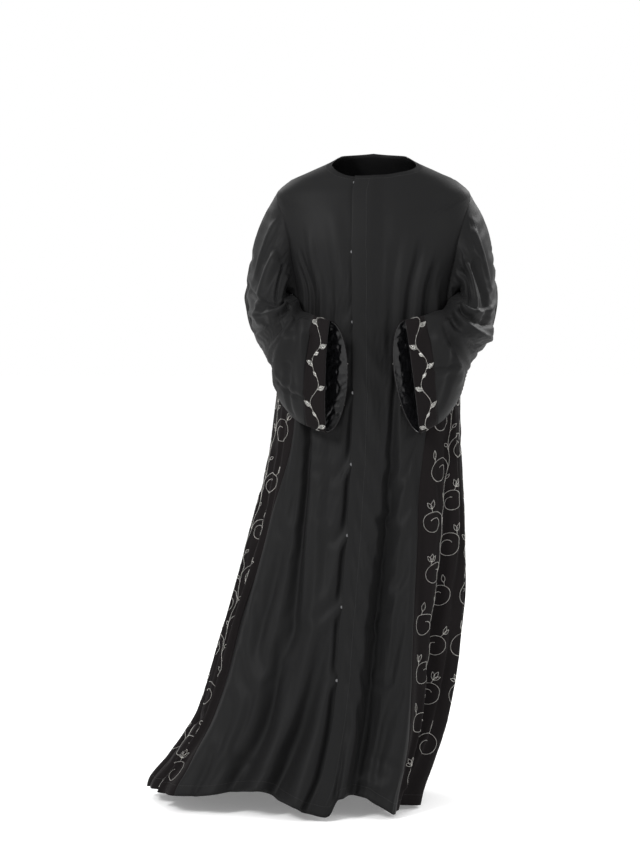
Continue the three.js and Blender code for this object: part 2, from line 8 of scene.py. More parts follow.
import bpy
import numpy as np
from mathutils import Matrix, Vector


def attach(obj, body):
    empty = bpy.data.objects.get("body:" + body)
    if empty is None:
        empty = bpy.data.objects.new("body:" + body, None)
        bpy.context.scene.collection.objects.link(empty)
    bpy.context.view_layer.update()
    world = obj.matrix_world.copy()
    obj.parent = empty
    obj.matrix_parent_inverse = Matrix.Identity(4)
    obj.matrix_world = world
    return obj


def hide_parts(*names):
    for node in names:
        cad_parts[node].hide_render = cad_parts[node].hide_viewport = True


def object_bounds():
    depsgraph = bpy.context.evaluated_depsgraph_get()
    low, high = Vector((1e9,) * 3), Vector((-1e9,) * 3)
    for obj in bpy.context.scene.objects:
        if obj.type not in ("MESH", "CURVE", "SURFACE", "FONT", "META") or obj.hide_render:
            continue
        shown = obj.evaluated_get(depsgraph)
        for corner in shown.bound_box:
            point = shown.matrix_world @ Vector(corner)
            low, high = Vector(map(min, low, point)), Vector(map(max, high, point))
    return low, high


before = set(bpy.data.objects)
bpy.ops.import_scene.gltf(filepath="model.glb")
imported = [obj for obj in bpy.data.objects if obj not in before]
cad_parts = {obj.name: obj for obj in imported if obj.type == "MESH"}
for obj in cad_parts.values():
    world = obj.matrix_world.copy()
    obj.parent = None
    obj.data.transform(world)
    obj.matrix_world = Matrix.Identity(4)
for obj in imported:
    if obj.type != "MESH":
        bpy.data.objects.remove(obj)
cad_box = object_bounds()

# ---- driving dimensions ----
HOLD_HEIGHT = 1.370
SQUARENESS = 2.35  # of a level section, where 2 is an ellipse
CLOTH = 0.0013  # thickness of crepe with its turnings, drawn on the outer face of the CAD wall
SATIN = 0.0008
WALL = 0.002  # the CAD wall
SEAM_GAP = 0.0001
UNDERLAP = 0.024
PLACKET = 0.036
PLACKET_EASE = 0.034
RAISED = 0.005  # of the left front's edge over the right one
CUFF_WIDTH = 0.048
UNDERARM_SHARE = 0.783  # the armhole runs between these shares of the way from hem to neckline
CAP_SHARE = 0.94
SLEEVE_CLEARANCE = 0.003
CLEAR_FROM = 0.2
FACING_FROM = 0.91

# ---- level sections of the body ----
SECTION_COLUMNS = ("z", "axis", "left", "right", "front", "back")
SECTIONS = (
    (0, -0.1, -0.488, 0.088, -0.24, 0.215),
    (0.04, -0.095, -0.482, 0.096, -0.235, 0.212),
    (0.1, -0.086, -0.438, 0.118, -0.222, 0.205),
    (0.2, -0.072, -0.374, 0.15, -0.205, 0.195),
    (0.4, -0.05, -0.314, 0.18, -0.182, 0.178),
    (0.6, -0.034, -0.26, 0.192, -0.162, 0.165),
    (0.8, -0.022, -0.222, 0.184, -0.15, 0.152),
    (0.95, -0.014, -0.205, 0.18, -0.146, 0.138),
    (1.085, -0.008, -0.185, 0.172, -0.146, 0.128),
    (1.19, -0.005, -0.21, 0.2, -0.14, 0.126),
    (1.25, -0.004, -0.216, 0.208, -0.128, 0.122),
    (1.303, -0.004, -0.213, 0.205, -0.108, 0.112),
    (1.335, -0.004, -0.182, 0.174, -0.092, 0.1),
    (1.35, -0.004, -0.149, 0.141, -0.086, 0.092),
    (1.388, -0.003, -0.074, 0.068, -0.07, 0.066),
    (1.4, -0.002, -0.066, 0.062, -0.062, 0.06),
)

# ---- seam lines: turn about the axis, 0 at the front and 90 at the wearer's left ----
SEAM_COLUMNS = ("z", "opening", "left_front", "left_back", "right_back", "right_front")
SEAMS = (
    (0, -8.5, 42, 111, -120, -51),
    (0.1, -4.5, 40, 110, -119, -54),
    (0.2, -4, 35, 109, -117, -59),
    (0.4, -6, 30, 107, -115, -59),
    (0.6, -7, 30, 108, -115, -55),
    (0.8, -8.5, 36, 111, -116, -46),
    (0.95, -11, 46, 116, -119, -49),
    (1.085, -14, 58, 121, -121, -58),
    (1.19, -13.5, 55, 124, -124, -55),
    (1.232, -13, 58, 121, -121, -58),
    (1.262, -13, 63, 116, -116, -63),
    (1.283, -13, 71, 109, -109, -71),
    (1.297, -13, 81, 99, -99, -81),
    (1.303, -13, 90, 90, -90, -90),
    (1.4, -15, 90, 90, -90, -90),
)

HEM_COLUMNS = ("turn", "lift")
HEM = (
    (-180, 0.002), (-131, 0.012), (-97, 0.03), (-78, 0.038), (-49, 0.042), (-32, 0.057), (-24, 0.067),
    (-17, 0.046), (-11, 0.034), (-7, 0.02), (-1, 0.012), (4, 0.046), (9, 0.054), (21, 0.05), (28, 0.035),
    (38, 0.013), (56, 0.017), (70, 0.012), (80, 0.024), (97, 0.03), (122, 0.006), (180, 0.002),
)

NECK_COLUMNS = ("turn", "z")
NECKLINE = ((-180, 1.398), (-90, 1.386), (-45, 1.362), (-10, 1.338), (25, 1.35), (90, 1.386), (180, 1.398))

# ---- the largest folds of the body, as in the CAD ----
# turn at three heights, half width in degrees, depth out or in, height where it starts and is whole
FOLD_HEIGHTS = {"top": 0.85, "mid": 0.4, "hem": 0.04}
FOLD_RUNS_ON = 1.2  # of the way from mid to top, where its line stops turning
FOLDS = (
    # top, mid, hem, width_top, width_hem, depth, start, full
    (-36, -29, -33, 3, 9, -0.026, 1.2, 0.5),
    (-27, -18, -25, 4, 7, 0.01, 0.9, 0.2),
    (-17, -12, -20, 3, 6, -0.028, 0.42, 0.06),
    (-10.5, -7, -10.5, 3, 6, 0.016, 0.45, 0.08),
    (16, 13, 15, 4, 11, -0.034, 1.15, 0.3),
    (26, 27, 36, 7, 11, 0.022, 1.1, 0.3),
    (54, 49, 54, 6, 9, -0.026, 1, 0.3),
    (69, 67, 69, 6, 9, 0.016, 0.9, 0.25),
    (93, 90, 95, 7, 10, -0.022, 0.95, 0.3),
    (115, 115, 116, 7, 10, 0.026, 1, 0.25),
    (131, 133, 132, 7, 10, -0.03, 1.15, 0.25),
    (150, 151, 149, 8, 11, 0.03, 1.12, 0.3),
    (169, 172, 168, 7, 10, -0.034, 1.18, 0.25),
    (195, 195, 193, 8, 10, 0.026, 1.05, 0.3),
    (214, 212, 211, 7, 10, -0.032, 1.16, 0.25),
    (231, 228, 228, 8, 10, 0.026, 1, 0.25),
    (247, 243, 245, 7, 9, -0.024, 0.95, 0.25),
    (-93, -98, -96, 7, 8, 0.012, 0.8, 0.2),
    (-65, -71, -73, 6, 8, -0.02, 0.9, 0.2),
    (-49, -51, -53, 6, 9, 0.014, 0.8, 0.2),
)

# ---- soft creases between the large folds ----
# from one spot to another, half width and depth in metres; they fade at both ends
CREASES = (
    # turn, z, to_turn, to_z, width, depth
    # narrow chest pleats at the wearer's right
    (-47, 1.2, -42, 1.0, 0.008, -0.005),
    (-51, 1.17, -46, 0.98, 0.008, -0.005),
    (-43, 1.17, -38, 0.93, 0.009, -0.004),
    (-39, 1.25, -33, 0.99, 0.014, 0.004),
    (-29, 1.22, -26, 0.8, 0.016, -0.003),
    (-23, 1.3, -20, 1.05, 0.02, 0.003),
    # chest at the wearer's left
    (12, 1.22, 11, 0.9, 0.014, -0.004),
    (20, 1.26, 17, 0.98, 0.018, 0.004),
    (27, 1.24, 23, 0.95, 0.013, -0.005),
    (34, 1.2, 29, 0.93, 0.016, 0.005),
    (41, 1.18, 34, 0.9, 0.014, -0.006),
    (48, 1.14, 40, 0.86, 0.016, 0.005),
    (4, 1.3, 2, 1.1, 0.022, -0.002),
    # right front, from the waist down to the swept hem
    (-44, 0.96, -42, 0.5, 0.018, 0.006),
    (-40, 0.82, -44, 0.2, 0.02, -0.008),
    (-33, 0.7, -24, 0.12, 0.02, 0.007),
    (-22, 0.95, -14, 0.42, 0.022, -0.004),
    (-27, 0.62, -20, 0.02, 0.026, -0.006),
    (-15, 0.72, -11, 0.3, 0.02, 0.004),
    (-46, 0.42, -43, 0.0, 0.022, 0.008),
    (-36, 0.33, -38, -0.05, 0.02, 0.007),
    (-38, 0.18, -30, -0.05, 0.018, -0.006),
    (-13, 0.25, -14, -0.05, 0.014, -0.007),
    (-18, 0.16, -24, -0.05, 0.016, 0.008),
    # left front
    (5, 0.7, 3, 0.28, 0.016, 0.003),
    (19, 0.92, 20, 0.5, 0.015, 0.005),
    (22, 0.6, 23, 0.22, 0.012, -0.005),
    (5, 0.3, 8, -0.05, 0.016, 0.008),
    (24, 0.28, 26, -0.05, 0.016, -0.009),
    (31, 0.5, 32, 0.1, 0.012, 0.004),
    (29, 0.95, 28, 0.6, 0.016, -0.005),
    # left side panel
    (40, 0.8, 38, 0.34, 0.014, 0.005),
    (60, 0.98, 59, 0.45, 0.016, 0.006),
    (46, 0.4, 47, -0.05, 0.016, 0.008),
    (62, 0.42, 62, -0.05, 0.016, -0.009),
    (77, 0.85, 78, 0.3, 0.018, -0.007),
    (83, 0.6, 83, 0.02, 0.018, 0.009),
    (102, 0.7, 103, -0.05, 0.016, 0.008),
    # right side panel
    (-57, 0.9, -60, 0.35, 0.015, -0.006),
    (-62, 0.6, -66, -0.05, 0.018, 0.009),
    (-79, 0.75, -82, 0.15, 0.018, 0.008),
    (-86, 0.6, -90, -0.05, 0.018, -0.01),
    (-104, 0.85, -106, 0.2, 0.018, -0.009),
    (-110, 0.6, -112, -0.05, 0.018, 0.01),
    # back
    (124, 1.02, 124, 0.4, 0.018, 0.007),
    (141, 1.1, 142, 0.5, 0.014, -0.006),
    (142, 0.46, 140, -0.05, 0.02, 0.012),
    (160, 1.2, 161, 0.55, 0.018, 0.006),
    (161, 0.5, 158, -0.05, 0.018, -0.011),
    (181, 1.22, 183, 0.45, 0.02, 0.008),
    (183, 0.42, 180, -0.05, 0.02, 0.012),
    (204, 1.16, 203, 0.5, 0.016, -0.007),
    (203, 0.48, 202, -0.05, 0.018, 0.011),
    (222, 1.08, 219, 0.45, 0.018, 0.008),
    (222, 0.42, 219, -0.05, 0.018, -0.012),
    (237, 0.9, 235, 0.2, 0.018, -0.008),
    (150, 1.34, 128, 1.2, 0.02, 0.003),
    (210, 1.34, 232, 1.2, 0.02, 0.003),
    (168, 1.33, 158, 1.14, 0.024, -0.003),
    (194, 1.33, 202, 1.13, 0.022, -0.003),
)
# level drags where the cloth rests: the pooled fold above the hem and pulls across the hips
DRAGS = (
    # turn, z, to_turn, to_z, width, depth
    (6, 0.085, 34, 0.075, 0.016, 0.008),
    (16, 0.13, 40, 0.115, 0.013, -0.005),
    (-40, 0.13, -22, 0.1, 0.014, -0.004),
    (40, 0.075, 58, 0.06, 0.012, 0.006),
    (-60, 0.12, -82, 0.1, 0.016, 0.008),
    (-66, 0.2, -92, 0.17, 0.016, -0.006),
    (128, 0.07, 160, 0.06, 0.014, 0.006),
    (190, 0.08, 226, 0.07, 0.015, 0.006),
)
CREASE_FADE = 0.3  # share of its length over which each end fades
CREASE_WANDER = {"turn": 1.2, "bend": 3.1}  # degrees aside, and radians of a wave along it
DRAG_WANDER = {"height": 0.006, "bend": 5}
# a faint unevenness all over, in cells of some degrees by some height, stronger from the waist down
UNEVEN = {"depth": 0.0016, "turn": 11, "height": 0.16, "seed": 3, "least": 0.4, "waist": 0.9, "fade": 0.4}

# ---- sleeves: rings fanned round the crook, each as outer, front, inner and back spots ----
SLEEVES = {
    "left": (
        ((0.236, 0.004, 1.24), (0.19, -0.106, 1.155), (0.186, -0.028, 1.1), (0.203, 0.098, 1.165)),
        ((0.255, 0.014, 1.16), (0.208, -0.12, 1.105), (0.178, -0.06, 1.1), (0.226, 0.1, 1.1)),
        ((0.26, 0.032, 1.07), (0.216, -0.134, 1.064), (0.166, -0.088, 1.092), (0.226, 0.088, 1.035)),
        ((0.241, 0.028, 1.002), (0.21, -0.148, 1.02), (0.154, -0.104, 1.082), (0.206, 0.046, 1.005)),
        ((0.199, -0.016, 0.944), (0.182, -0.164, 0.986), (0.142, -0.116, 1.061), (0.178, -0.046, 0.995)),
        ((0.176, -0.076, 0.874), (0.16, -0.18, 0.962), (0.126, -0.142, 1.055), (0.149, -0.1, 0.96)),
        ((0.142, -0.13, 0.828), (0.127, -0.2, 0.944), (0.102, -0.178, 1.047), (0.114, -0.128, 0.93)),
        ((0.09, -0.174, 0.8), (0.073, -0.224, 0.928), (0.057, -0.21, 1.036), (0.036, -0.16, 0.922)),
    ),
    "right": (
        ((-0.246, 0.004, 1.236), (-0.2, -0.106, 1.153), (-0.196, -0.028, 1.1), (-0.213, 0.098, 1.165)),
        ((-0.267, 0.014, 1.158), (-0.22, -0.12, 1.103), (-0.19, -0.06, 1.1), (-0.238, 0.1, 1.1)),
        ((-0.271, 0.03, 1.076), (-0.228, -0.134, 1.06), (-0.178, -0.088, 1.092), (-0.238, 0.088, 1.035)),
        ((-0.252, 0.026, 1.008), (-0.222, -0.148, 1.014), (-0.166, -0.106, 1.081), (-0.218, 0.046, 1.005)),
        ((-0.217, -0.016, 0.942), (-0.202, -0.166, 0.98), (-0.156, -0.118, 1.057), (-0.196, -0.048, 0.992)),
        ((-0.203, -0.08, 0.87), (-0.182, -0.184, 0.958), (-0.142, -0.144, 1.05), (-0.166, -0.104, 0.957)),
        ((-0.163, -0.148, 0.824), (-0.148, -0.204, 0.942), (-0.124, -0.18, 1.043), (-0.138, -0.136, 0.925)),
        ((-0.105, -0.182, 0.802), (-0.108, -0.228, 0.93), (-0.097, -0.212, 1.035), (-0.06, -0.166, 0.916)),
    ),
}

# folds and creases of each sleeve, as shares round it and along it
SLEEVE_FOLDS = {
    "left": (
        # round, along, to_round, to_along, width, depth
        (0.3, 0.56, 0.12, 0.48, 0.03, 0.012),
        (0.3, 0.68, 0.1, 0.62, 0.026, -0.01),
        (0.32, 0.76, 0.16, 0.74, 0.03, 0.009),
        (0.2, 0.16, 0.2, 0.44, 0.028, -0.012),
        (0.7, 0.5, 0.88, 0.42, 0.028, -0.009),
        (0.74, 0.28, 0.92, 0.24, 0.028, 0.009),
        (0.38, 0.42, 0.06, 0.36, 0.013, 0.007),
        (0.39, 0.47, 0.05, 0.43, 0.011, -0.008),
        (0.4, 0.52, 0.04, 0.5, 0.012, 0.008),
        (0.4, 0.58, 0.06, 0.57, 0.011, -0.007),
        (0.38, 0.64, 0.08, 0.64, 0.013, 0.006),
        (0.3, 0.08, 0.33, 0.36, 0.014, -0.008),
        (0.25, 0.1, 0.28, 0.38, 0.014, 0.007),
        (0.12, 0.08, 0.13, 0.3, 0.018, 0.005),
        (0.36, 0.74, 0.2, 0.97, 0.018, 0.006),
        (0.26, 0.72, 0.1, 0.93, 0.016, -0.006),
        (0.44, 0.8, 0.34, 0.99, 0.014, -0.004),
        (0.62, 0.7, 0.8, 0.88, 0.018, 0.006),
        (0.6, 0.5, 0.8, 0.6, 0.015, -0.006),
        (0.9, 0.2, 0.92, 0.5, 0.016, -0.006),
        (0.82, 0.1, 0.8, 0.34, 0.016, -0.006),
        # the fold edge beside the cuff
        (0.25, 0.9, 0.22, 0.74, 0.006, -0.005),
        (0.235, 0.9, 0.2, 0.72, 0.012, 0.004),
    ),
    "right": (
        (0.3, 0.54, 0.1, 0.54, 0.028, -0.012),
        (0.3, 0.66, 0.08, 0.7, 0.03, 0.012),
        (0.2, 0.14, 0.18, 0.42, 0.03, 0.012),
        (0.7, 0.44, 0.86, 0.46, 0.028, -0.009),
        (0.72, 0.26, 0.9, 0.3, 0.028, 0.009),
        (0.38, 0.38, 0.07, 0.32, 0.012, -0.008),
        (0.39, 0.43, 0.06, 0.4, 0.013, 0.009),
        (0.4, 0.48, 0.1, 0.47, 0.012, -0.007),
        (0.39, 0.6, 0.1, 0.61, 0.012, 0.006),
        (0.27, 0.1, 0.31, 0.34, 0.013, -0.008),
        (0.32, 0.1, 0.36, 0.32, 0.012, 0.007),
        (0.1, 0.06, 0.1, 0.26, 0.018, 0.005),
        (0.4, 0.72, 0.16, 0.9, 0.02, 0.008),
        (0.34, 0.82, 0.14, 0.98, 0.016, -0.007),
        (0.22, 0.76, 0.05, 0.86, 0.016, -0.006),
        (0.46, 0.8, 0.4, 0.99, 0.014, 0.004),
        (0.6, 0.72, 0.78, 0.9, 0.018, -0.006),
        (0.62, 0.5, 0.8, 0.58, 0.015, 0.006),
        (0.9, 0.22, 0.9, 0.5, 0.016, 0.006),
        (0.84, 0.1, 0.8, 0.34, 0.016, -0.006),
        (0.155, 0.9, 0.13, 0.74, 0.006, -0.005),
        (0.17, 0.9, 0.15, 0.72, 0.012, 0.004),
    ),
}

# ---- how finely the cloth is drawn ----
ROWS = 170
COLUMNS = {"front": 84, "back": 170, "side": 80}
SLEEVE_ROUND = {"edge": 44, "side": 26}
SLEEVE_ROWS = 110
CUFF_ROWS = 12
FACING_ROWS = 40
TRACK_STEPS = 24
TURN_STEP = 0.2
HEIGHT_STEP = 0.001
ALONG_STEP = 0.004

# ---- the short cloth simulations ----
# how firmly each keeps its drawn form where it is freest, its slack as a share, its bending stiffness
PANEL_CLOTH = {"hold": 0.2, "slack": 0.007, "bending": 45}
SLEEVE_CLOTH = {"hold": 0.22, "slack": 0.03, "bending": 10}
FACING_CLOTH = {"hold": 0.3, "slack": 0.09, "bending": 0.15}
# shares of a piece over which its sewn edges let it go
PANEL_FREES = {"side": 0.16, "top": 0.25}
SLEEVE_FREES = {"armhole": 0.06, "until": 0.96, "cuff": 0.5}
FACING_FREES = 0.03
FLOOR_CLEARANCE = 0.0006
FRAMES = 18
SIMULATION = {
    "quality": 6,
    "mass": 0.2,
    "tension_stiffness": 12,
    "compression_stiffness": 12,
    "shear_stiffness": 4,
    "pin_stiffness": 1.5,
    "vertex_group_mass": "hold",
}


# ---- small numeric helpers ----
def smooth(share):
    share = np.clip(share, 0, 1)
    return share * share * (3 - 2 * share)


def hump(across):
    return np.where(np.abs(across) < 1, np.cos(np.clip(across, -1, 1) * math.pi / 2) ** 2, 0)


def wrap(turn):
    return (np.asarray(turn) + 180) % 360 - 180


def lerp(a, b, share):
    return a + (b - a) * share


def unit(vectors):
    return vectors / np.maximum(np.linalg.norm(vectors, axis=-1, keepdims=True), 1e-12)


def curve(at, value):
    """A smooth curve through the points, never beyond its neighbours, held level past its ends."""
    at = np.array(at, float)
    value = np.array(value, float)
    rise = np.diff(value) / np.diff(at)
    before = np.concatenate([rise[:1], rise])
    after = np.concatenate([rise, rise[-1:]])
    same = before * after > 0
    slope = np.where(same, 2 * before * after / np.where(same, before + after, 1), 0)

    def sample(x):
        x = np.clip(x, at[0], at[-1])
        i = np.clip(np.searchsorted(at, x, side="right") - 1, 0, len(at) - 2)
        span = at[i + 1] - at[i]
        t = (x - at[i]) / span
        leaving = t * (1 - t) * (1 - t) * slope[i]
        arriving = -t * t * (1 - t) * slope[i + 1]
        return lerp(value[i], value[i + 1], t * t * (3 - 2 * t)) + span * (leaving + arriving)

    return sample


def curves(names, rows):
    columns = list(zip(*rows))
    return {name: curve(columns[0], column) for name, column in zip(names[1:], columns[1:])}


MOTTLE_CELLS = 64
SECTION = curves(SECTION_COLUMNS, SECTIONS)
SEAM = curves(SEAM_COLUMNS, SEAMS)
HEM_LIFT = curves(HEM_COLUMNS, HEM)["lift"]
NECK_HEIGHT = curves(NECK_COLUMNS, NECKLINE)["z"]


def mottle(u, v, seed):
    """Smooth noise from -1 to 1 on a grid of unit cells."""
    grid = np.random.default_rng(seed).uniform(-1, 1, (MOTTLE_CELLS, MOTTLE_CELLS))
    whole_u = np.floor(u).astype(int)
    whole_v = np.floor(v).astype(int)
    left, right = whole_u % MOTTLE_CELLS, (whole_u + 1) % MOTTLE_CELLS
    under, over = whole_v % MOTTLE_CELLS, (whole_v + 1) % MOTTLE_CELLS
    low = lerp(grid[left, under], grid[right, under], smooth(u - whole_u))
    high = lerp(grid[left, over], grid[right, over], smooth(u - whole_u))
    return lerp(low, high, smooth(v - whole_v))


# ---- the body's surface ----
def section_point(turn, z):
    s = np.sin(np.radians(turn))
    c = np.cos(np.radians(turn))
    axis = SECTION["axis"](z)
    reach_x = np.where(s > 0, SECTION["right"](z) - axis, axis - SECTION["left"](z))
    reach_y = np.where(c > 0, -SECTION["front"](z), SECTION["back"](z))
    reach = (np.abs(s) ** SQUARENESS + np.abs(c) ** SQUARENESS) ** (-1 / SQUARENESS)
    return np.stack([axis + reach_x * s * reach, -reach_y * c * reach], axis=-1)


def fold_reach(turn, z):
    """The large folds, which the CAD solids have too."""
    top, mid, hem = FOLD_HEIGHTS["top"], FOLD_HEIGHTS["mid"], FOLD_HEIGHTS["hem"]
    upper = np.clip((z - mid) / (top - mid), 0, FOLD_RUNS_ON)
    lower = np.clip((z - hem) / (mid - hem), 0, 1)
    high = np.clip(z / top, 0, 1)
    reach = np.zeros(np.broadcast(turn, z).shape)
    for at_top, at_mid, at_hem, width_top, width_hem, depth, start, full in FOLDS:
        at = np.where(z > mid, lerp(at_mid, at_top, upper), lerp(at_hem, at_mid, lower))
        across = wrap(turn - at) / lerp(width_hem, width_top, high)
        reach = reach + depth * smooth((start - z) / (start - full)) * hump(across)
    return reach


def fade_ends(share):
    return smooth(share / CREASE_FADE) * smooth((1 - share) / CREASE_FADE)


def crease_reach(turn, z, per_degree):
    """The smaller creases, each a soft line that wanders a little and fades at both ends."""
    reach = np.zeros(np.broadcast(turn, z).shape)
    for number, (at, high, to, low, width, depth) in enumerate(CREASES):
        share = (high - z) / (high - low)
        wander = CREASE_WANDER["turn"] * np.sin(CREASE_WANDER["bend"] * share + number)
        across = wrap(turn - lerp(at, to, np.clip(share, 0, 1)) - wander) * per_degree / width
        reach = reach + depth * fade_ends(share) * hump(across)
    for number, (at, z_at, to, z_to, width, depth) in enumerate(DRAGS):
        share = wrap(turn - at) / (to - at)
        wander = DRAG_WANDER["height"] * np.sin(DRAG_WANDER["bend"] * share + number)
        height = lerp(z_at, z_to, share) + wander
        reach = reach + depth * fade_ends(share) * hump((z - height) / width)
    return reach


def body_point(turn, z):
    here = section_point(turn, z)
    along = unit(section_point(turn + TURN_STEP, z) - section_point(turn - TURN_STEP, z))
    axis = np.stack([SECTION["axis"](z), np.zeros_like(z)], axis=-1)
    per_degree = np.linalg.norm(here - axis, axis=-1) * math.pi / 180
    reach = fold_reach(turn, z) + crease_reach(turn, z, per_degree)
    drape = 1 - smooth((z - UNEVEN["waist"]) / UNEVEN["fade"])
    uneven = mottle(turn / UNEVEN["turn"], z / UNEVEN["height"], UNEVEN["seed"])
    reach = reach + UNEVEN["depth"] * uneven * (UNEVEN["least"] + drape)
    out = np.stack([along[..., 1], -along[..., 0]], axis=-1)
    flat = here + out * reach[..., None]
    return np.concatenate([flat, (z - HOLD_HEIGHT)[..., None]], axis=-1)


def body_normal(turn, z):
    across = body_point(turn + TURN_STEP, z) - body_point(turn - TURN_STEP, z)
    up = body_point(turn, z + HEIGHT_STEP) - body_point(turn, z - HEIGHT_STEP)
    return unit(np.cross(across, up))


def per_degree_at(turn, z):
    step = section_point(turn + TURN_STEP, z) - section_point(turn - TURN_STEP, z)
    return np.linalg.norm(step, axis=-1) / (2 * TURN_STEP)


def row_height(share, turn):
    low = HEM_LIFT(wrap(turn))
    return low + (NECK_HEIGHT(wrap(turn)) - low) * share


SEAM_ROUNDS = 8


def turn_on(line, share):
    """Where a row crosses a seam line: its height depends on the turn and the seam's turn on the height."""
    turn = line(row_height(share, np.zeros_like(share)))
    for _ in range(SEAM_ROUNDS):
        turn = line(row_height(share, turn))
    return turn


def turn_beside(line, share, distance):
    turn = turn_on(line, share)
    return turn + distance / per_degree_at(turn, row_height(share, turn))


# ---- making meshes ----
def add_object(name, vertices, faces, smooth_faces=True):
    mesh = bpy.data.meshes.new(name)
    mesh.from_pydata(np.asarray(vertices).tolist(), [], faces)
    if smooth_faces:
        mesh.polygons.foreach_set("use_smooth", [True] * len(mesh.polygons))
    mesh.update()
    piece = bpy.data.objects.new(name, mesh)
    bpy.context.scene.collection.objects.link(piece)
    return piece


def shell(name, outer, normals, thickness, closed=False):
    """A thin closed sheet from a grid of outer points; a closed one joins its last column to its first."""
    rows, columns = outer.shape[:2]
    inner = outer - normals * thickness
    vertices = np.concatenate([outer.reshape(-1, 3), inner.reshape(-1, 3)])
    out = np.arange(rows * columns).reshape(rows, columns)
    if closed:
        out = np.concatenate([out, out[:, :1]], axis=1)
    into = out + rows * columns
    a, b, c, d = out[:-1, :-1], out[:-1, 1:], out[1:, 1:], out[1:, :-1]
    e, f, g, h = into[:-1, :-1], into[:-1, 1:], into[1:, 1:], into[1:, :-1]
    quads = [np.stack([a, b, c, d], -1), np.stack([e, h, g, f], -1)]
    quads.append(np.stack([out[0, :-1], into[0, :-1], into[0, 1:], out[0, 1:]], -1))
    quads.append(np.stack([out[-1, :-1], out[-1, 1:], into[-1, 1:], into[-1, :-1]], -1))
    if not closed:
        quads.append(np.stack([out[:-1, 0], out[1:, 0], into[1:, 0], into[:-1, 0]], -1))
        quads.append(np.stack([out[:-1, -1], into[:-1, -1], into[1:, -1], out[1:, -1]], -1))
    faces = np.concatenate([q.reshape(-1, 4) for q in quads])
    corners = vertices[faces]
    volume = np.einsum("ij,ij->i", corners[:, 0], np.cross(corners[:, 1], corners[:, 2])).sum()
    volume += np.einsum("ij,ij->i", corners[:, 0], np.cross(corners[:, 2], corners[:, 3])).sum()
    if volume < 0:
        faces = faces[:, ::-1]
    return add_object(name, vertices, faces.tolist())


# ---- a short cloth simulation, held near the drawn form ----
def grid_faces(rows, columns, closed):
    index = np.arange(rows * columns).reshape(rows, columns)
    if closed:
        index = np.concatenate([index, index[:, :1]], axis=1)
    corners = (index[:-1, :-1], index[:-1, 1:], index[1:, 1:], index[1:, :-1])
    return np.stack(corners, -1).reshape(-1, 4).tolist()


def buckle(points, free, kind, closed=False):
    """Lets the cloth fall and wrinkle where free is over 0, and keeps its drawn form where it is 0."""
    scene = bpy.context.scene
    rows, columns = points.shape[:2]
    hold = np.broadcast_to(1 - (1 - kind["hold"]) * free, (rows, columns))
    sheet = add_object("simulated", points.reshape(-1, 3), grid_faces(rows, columns, closed))
    group = sheet.vertex_groups.new(name="hold")
    for number, weight in enumerate(hold.reshape(-1).tolist()):
        group.add([number], weight, "REPLACE")
    cloth = sheet.modifiers.new("cloth", "CLOTH")
    for setting, value in SIMULATION.items():
        setattr(cloth.settings, setting, value)
    cloth.settings.bending_stiffness = kind["bending"]
    cloth.settings.shrink_min = -kind["slack"]
    cloth.settings.shrink_max = -kind["slack"]
    cloth.collision_settings.use_collision = False
    cloth.point_cache.frame_start = 1
    cloth.point_cache.frame_end = FRAMES
    for frame_number in range(1, FRAMES + 1):
        scene.frame_set(frame_number)
    settled = sheet.evaluated_get(bpy.context.evaluated_depsgraph_get()).to_mesh()
    found = np.empty(rows * columns * 3, np.float32)
    settled.vertices.foreach_get("co", found)
    mesh = sheet.data
    bpy.data.objects.remove(sheet)
    bpy.data.meshes.remove(mesh)
    scene.frame_set(1)
    return found.reshape(points.shape).astype(float)


def grid_normals(points, closed, like):
    """Normals of a grid, facing the way the given ones do."""
    if closed:
        across = np.roll(points, -1, 1) - np.roll(points, 1, 1)
    else:
        across = np.gradient(points, axis=1)
    normals = unit(np.cross(across, np.gradient(points, axis=0)))
    return normals * np.sign((normals * like).sum(-1, keepdims=True) + 1e-9)


# one grain of length 1: two rings of four between its tips
GRAIN_TIP = 0.5
GRAIN_RING = 0.28
GRAIN_CORNERS = 10
GRAIN_FACES = (
    (0, 2, 1), (0, 3, 2), (0, 4, 3), (0, 1, 4), (1, 2, 6), (1, 6, 5), (2, 3, 7), (2, 7, 6),
    (3, 4, 8), (3, 8, 7), (4, 1, 5), (4, 5, 8), (9, 5, 6), (9, 6, 7), (9, 7, 8), (9, 8, 5),
)


def grains(name, points, along, normals, length, width, height):
    """Many small beads or stitches in one mesh, each lying along its line."""
    along = unit(along)
    across = unit(np.cross(normals, along))
    upright = np.cross(along, across)
    rings = [(t, *way) for t in (-GRAIN_RING, GRAIN_RING) for way in ((1, 0), (0, 1), (-1, 0), (0, -1))]
    offsets = np.array([(-GRAIN_TIP, 0, 0), *rings, (GRAIN_TIP, 0, 0)])
    vertices = (
        points[:, None]
        + along[:, None] * offsets[None, :, :1] * length
        + across[:, None] * offsets[None, :, 1:2] * width / 2
        + upright[:, None] * offsets[None, :, 2:] * height / 2
    )
    first = GRAIN_CORNERS * np.arange(len(points))[:, None, None]
    every = (np.array(GRAIN_FACES)[None] + first).reshape(-1, 3)
    return add_object(name, vertices.reshape(-1, 3), every.tolist())


def settle(piece, material, slot, *nodes):
    """What every piece needs: its look, the body it rides on and the node it stands for; slot is not used.
    """
    piece.data.materials.append(material)
    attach(piece, "root")
    for node in nodes:
        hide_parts(node)
    return piece


# ---- materials ----
def principled(name, color, roughness, **others):
    """A material with the shader's own sockets set: others holds their names with _ for spaces."""
    material = bpy.data.materials.new(name)
    material.use_nodes = True
    shader = material.node_tree.nodes["Principled BSDF"]
    shader.inputs["Base Color"].default_value = (*color, 1)
    shader.inputs["Roughness"].default_value = roughness
    for socket, value in others.items():
        shader.inputs[socket.replace("_", " ")].default_value = value
    return material, shader


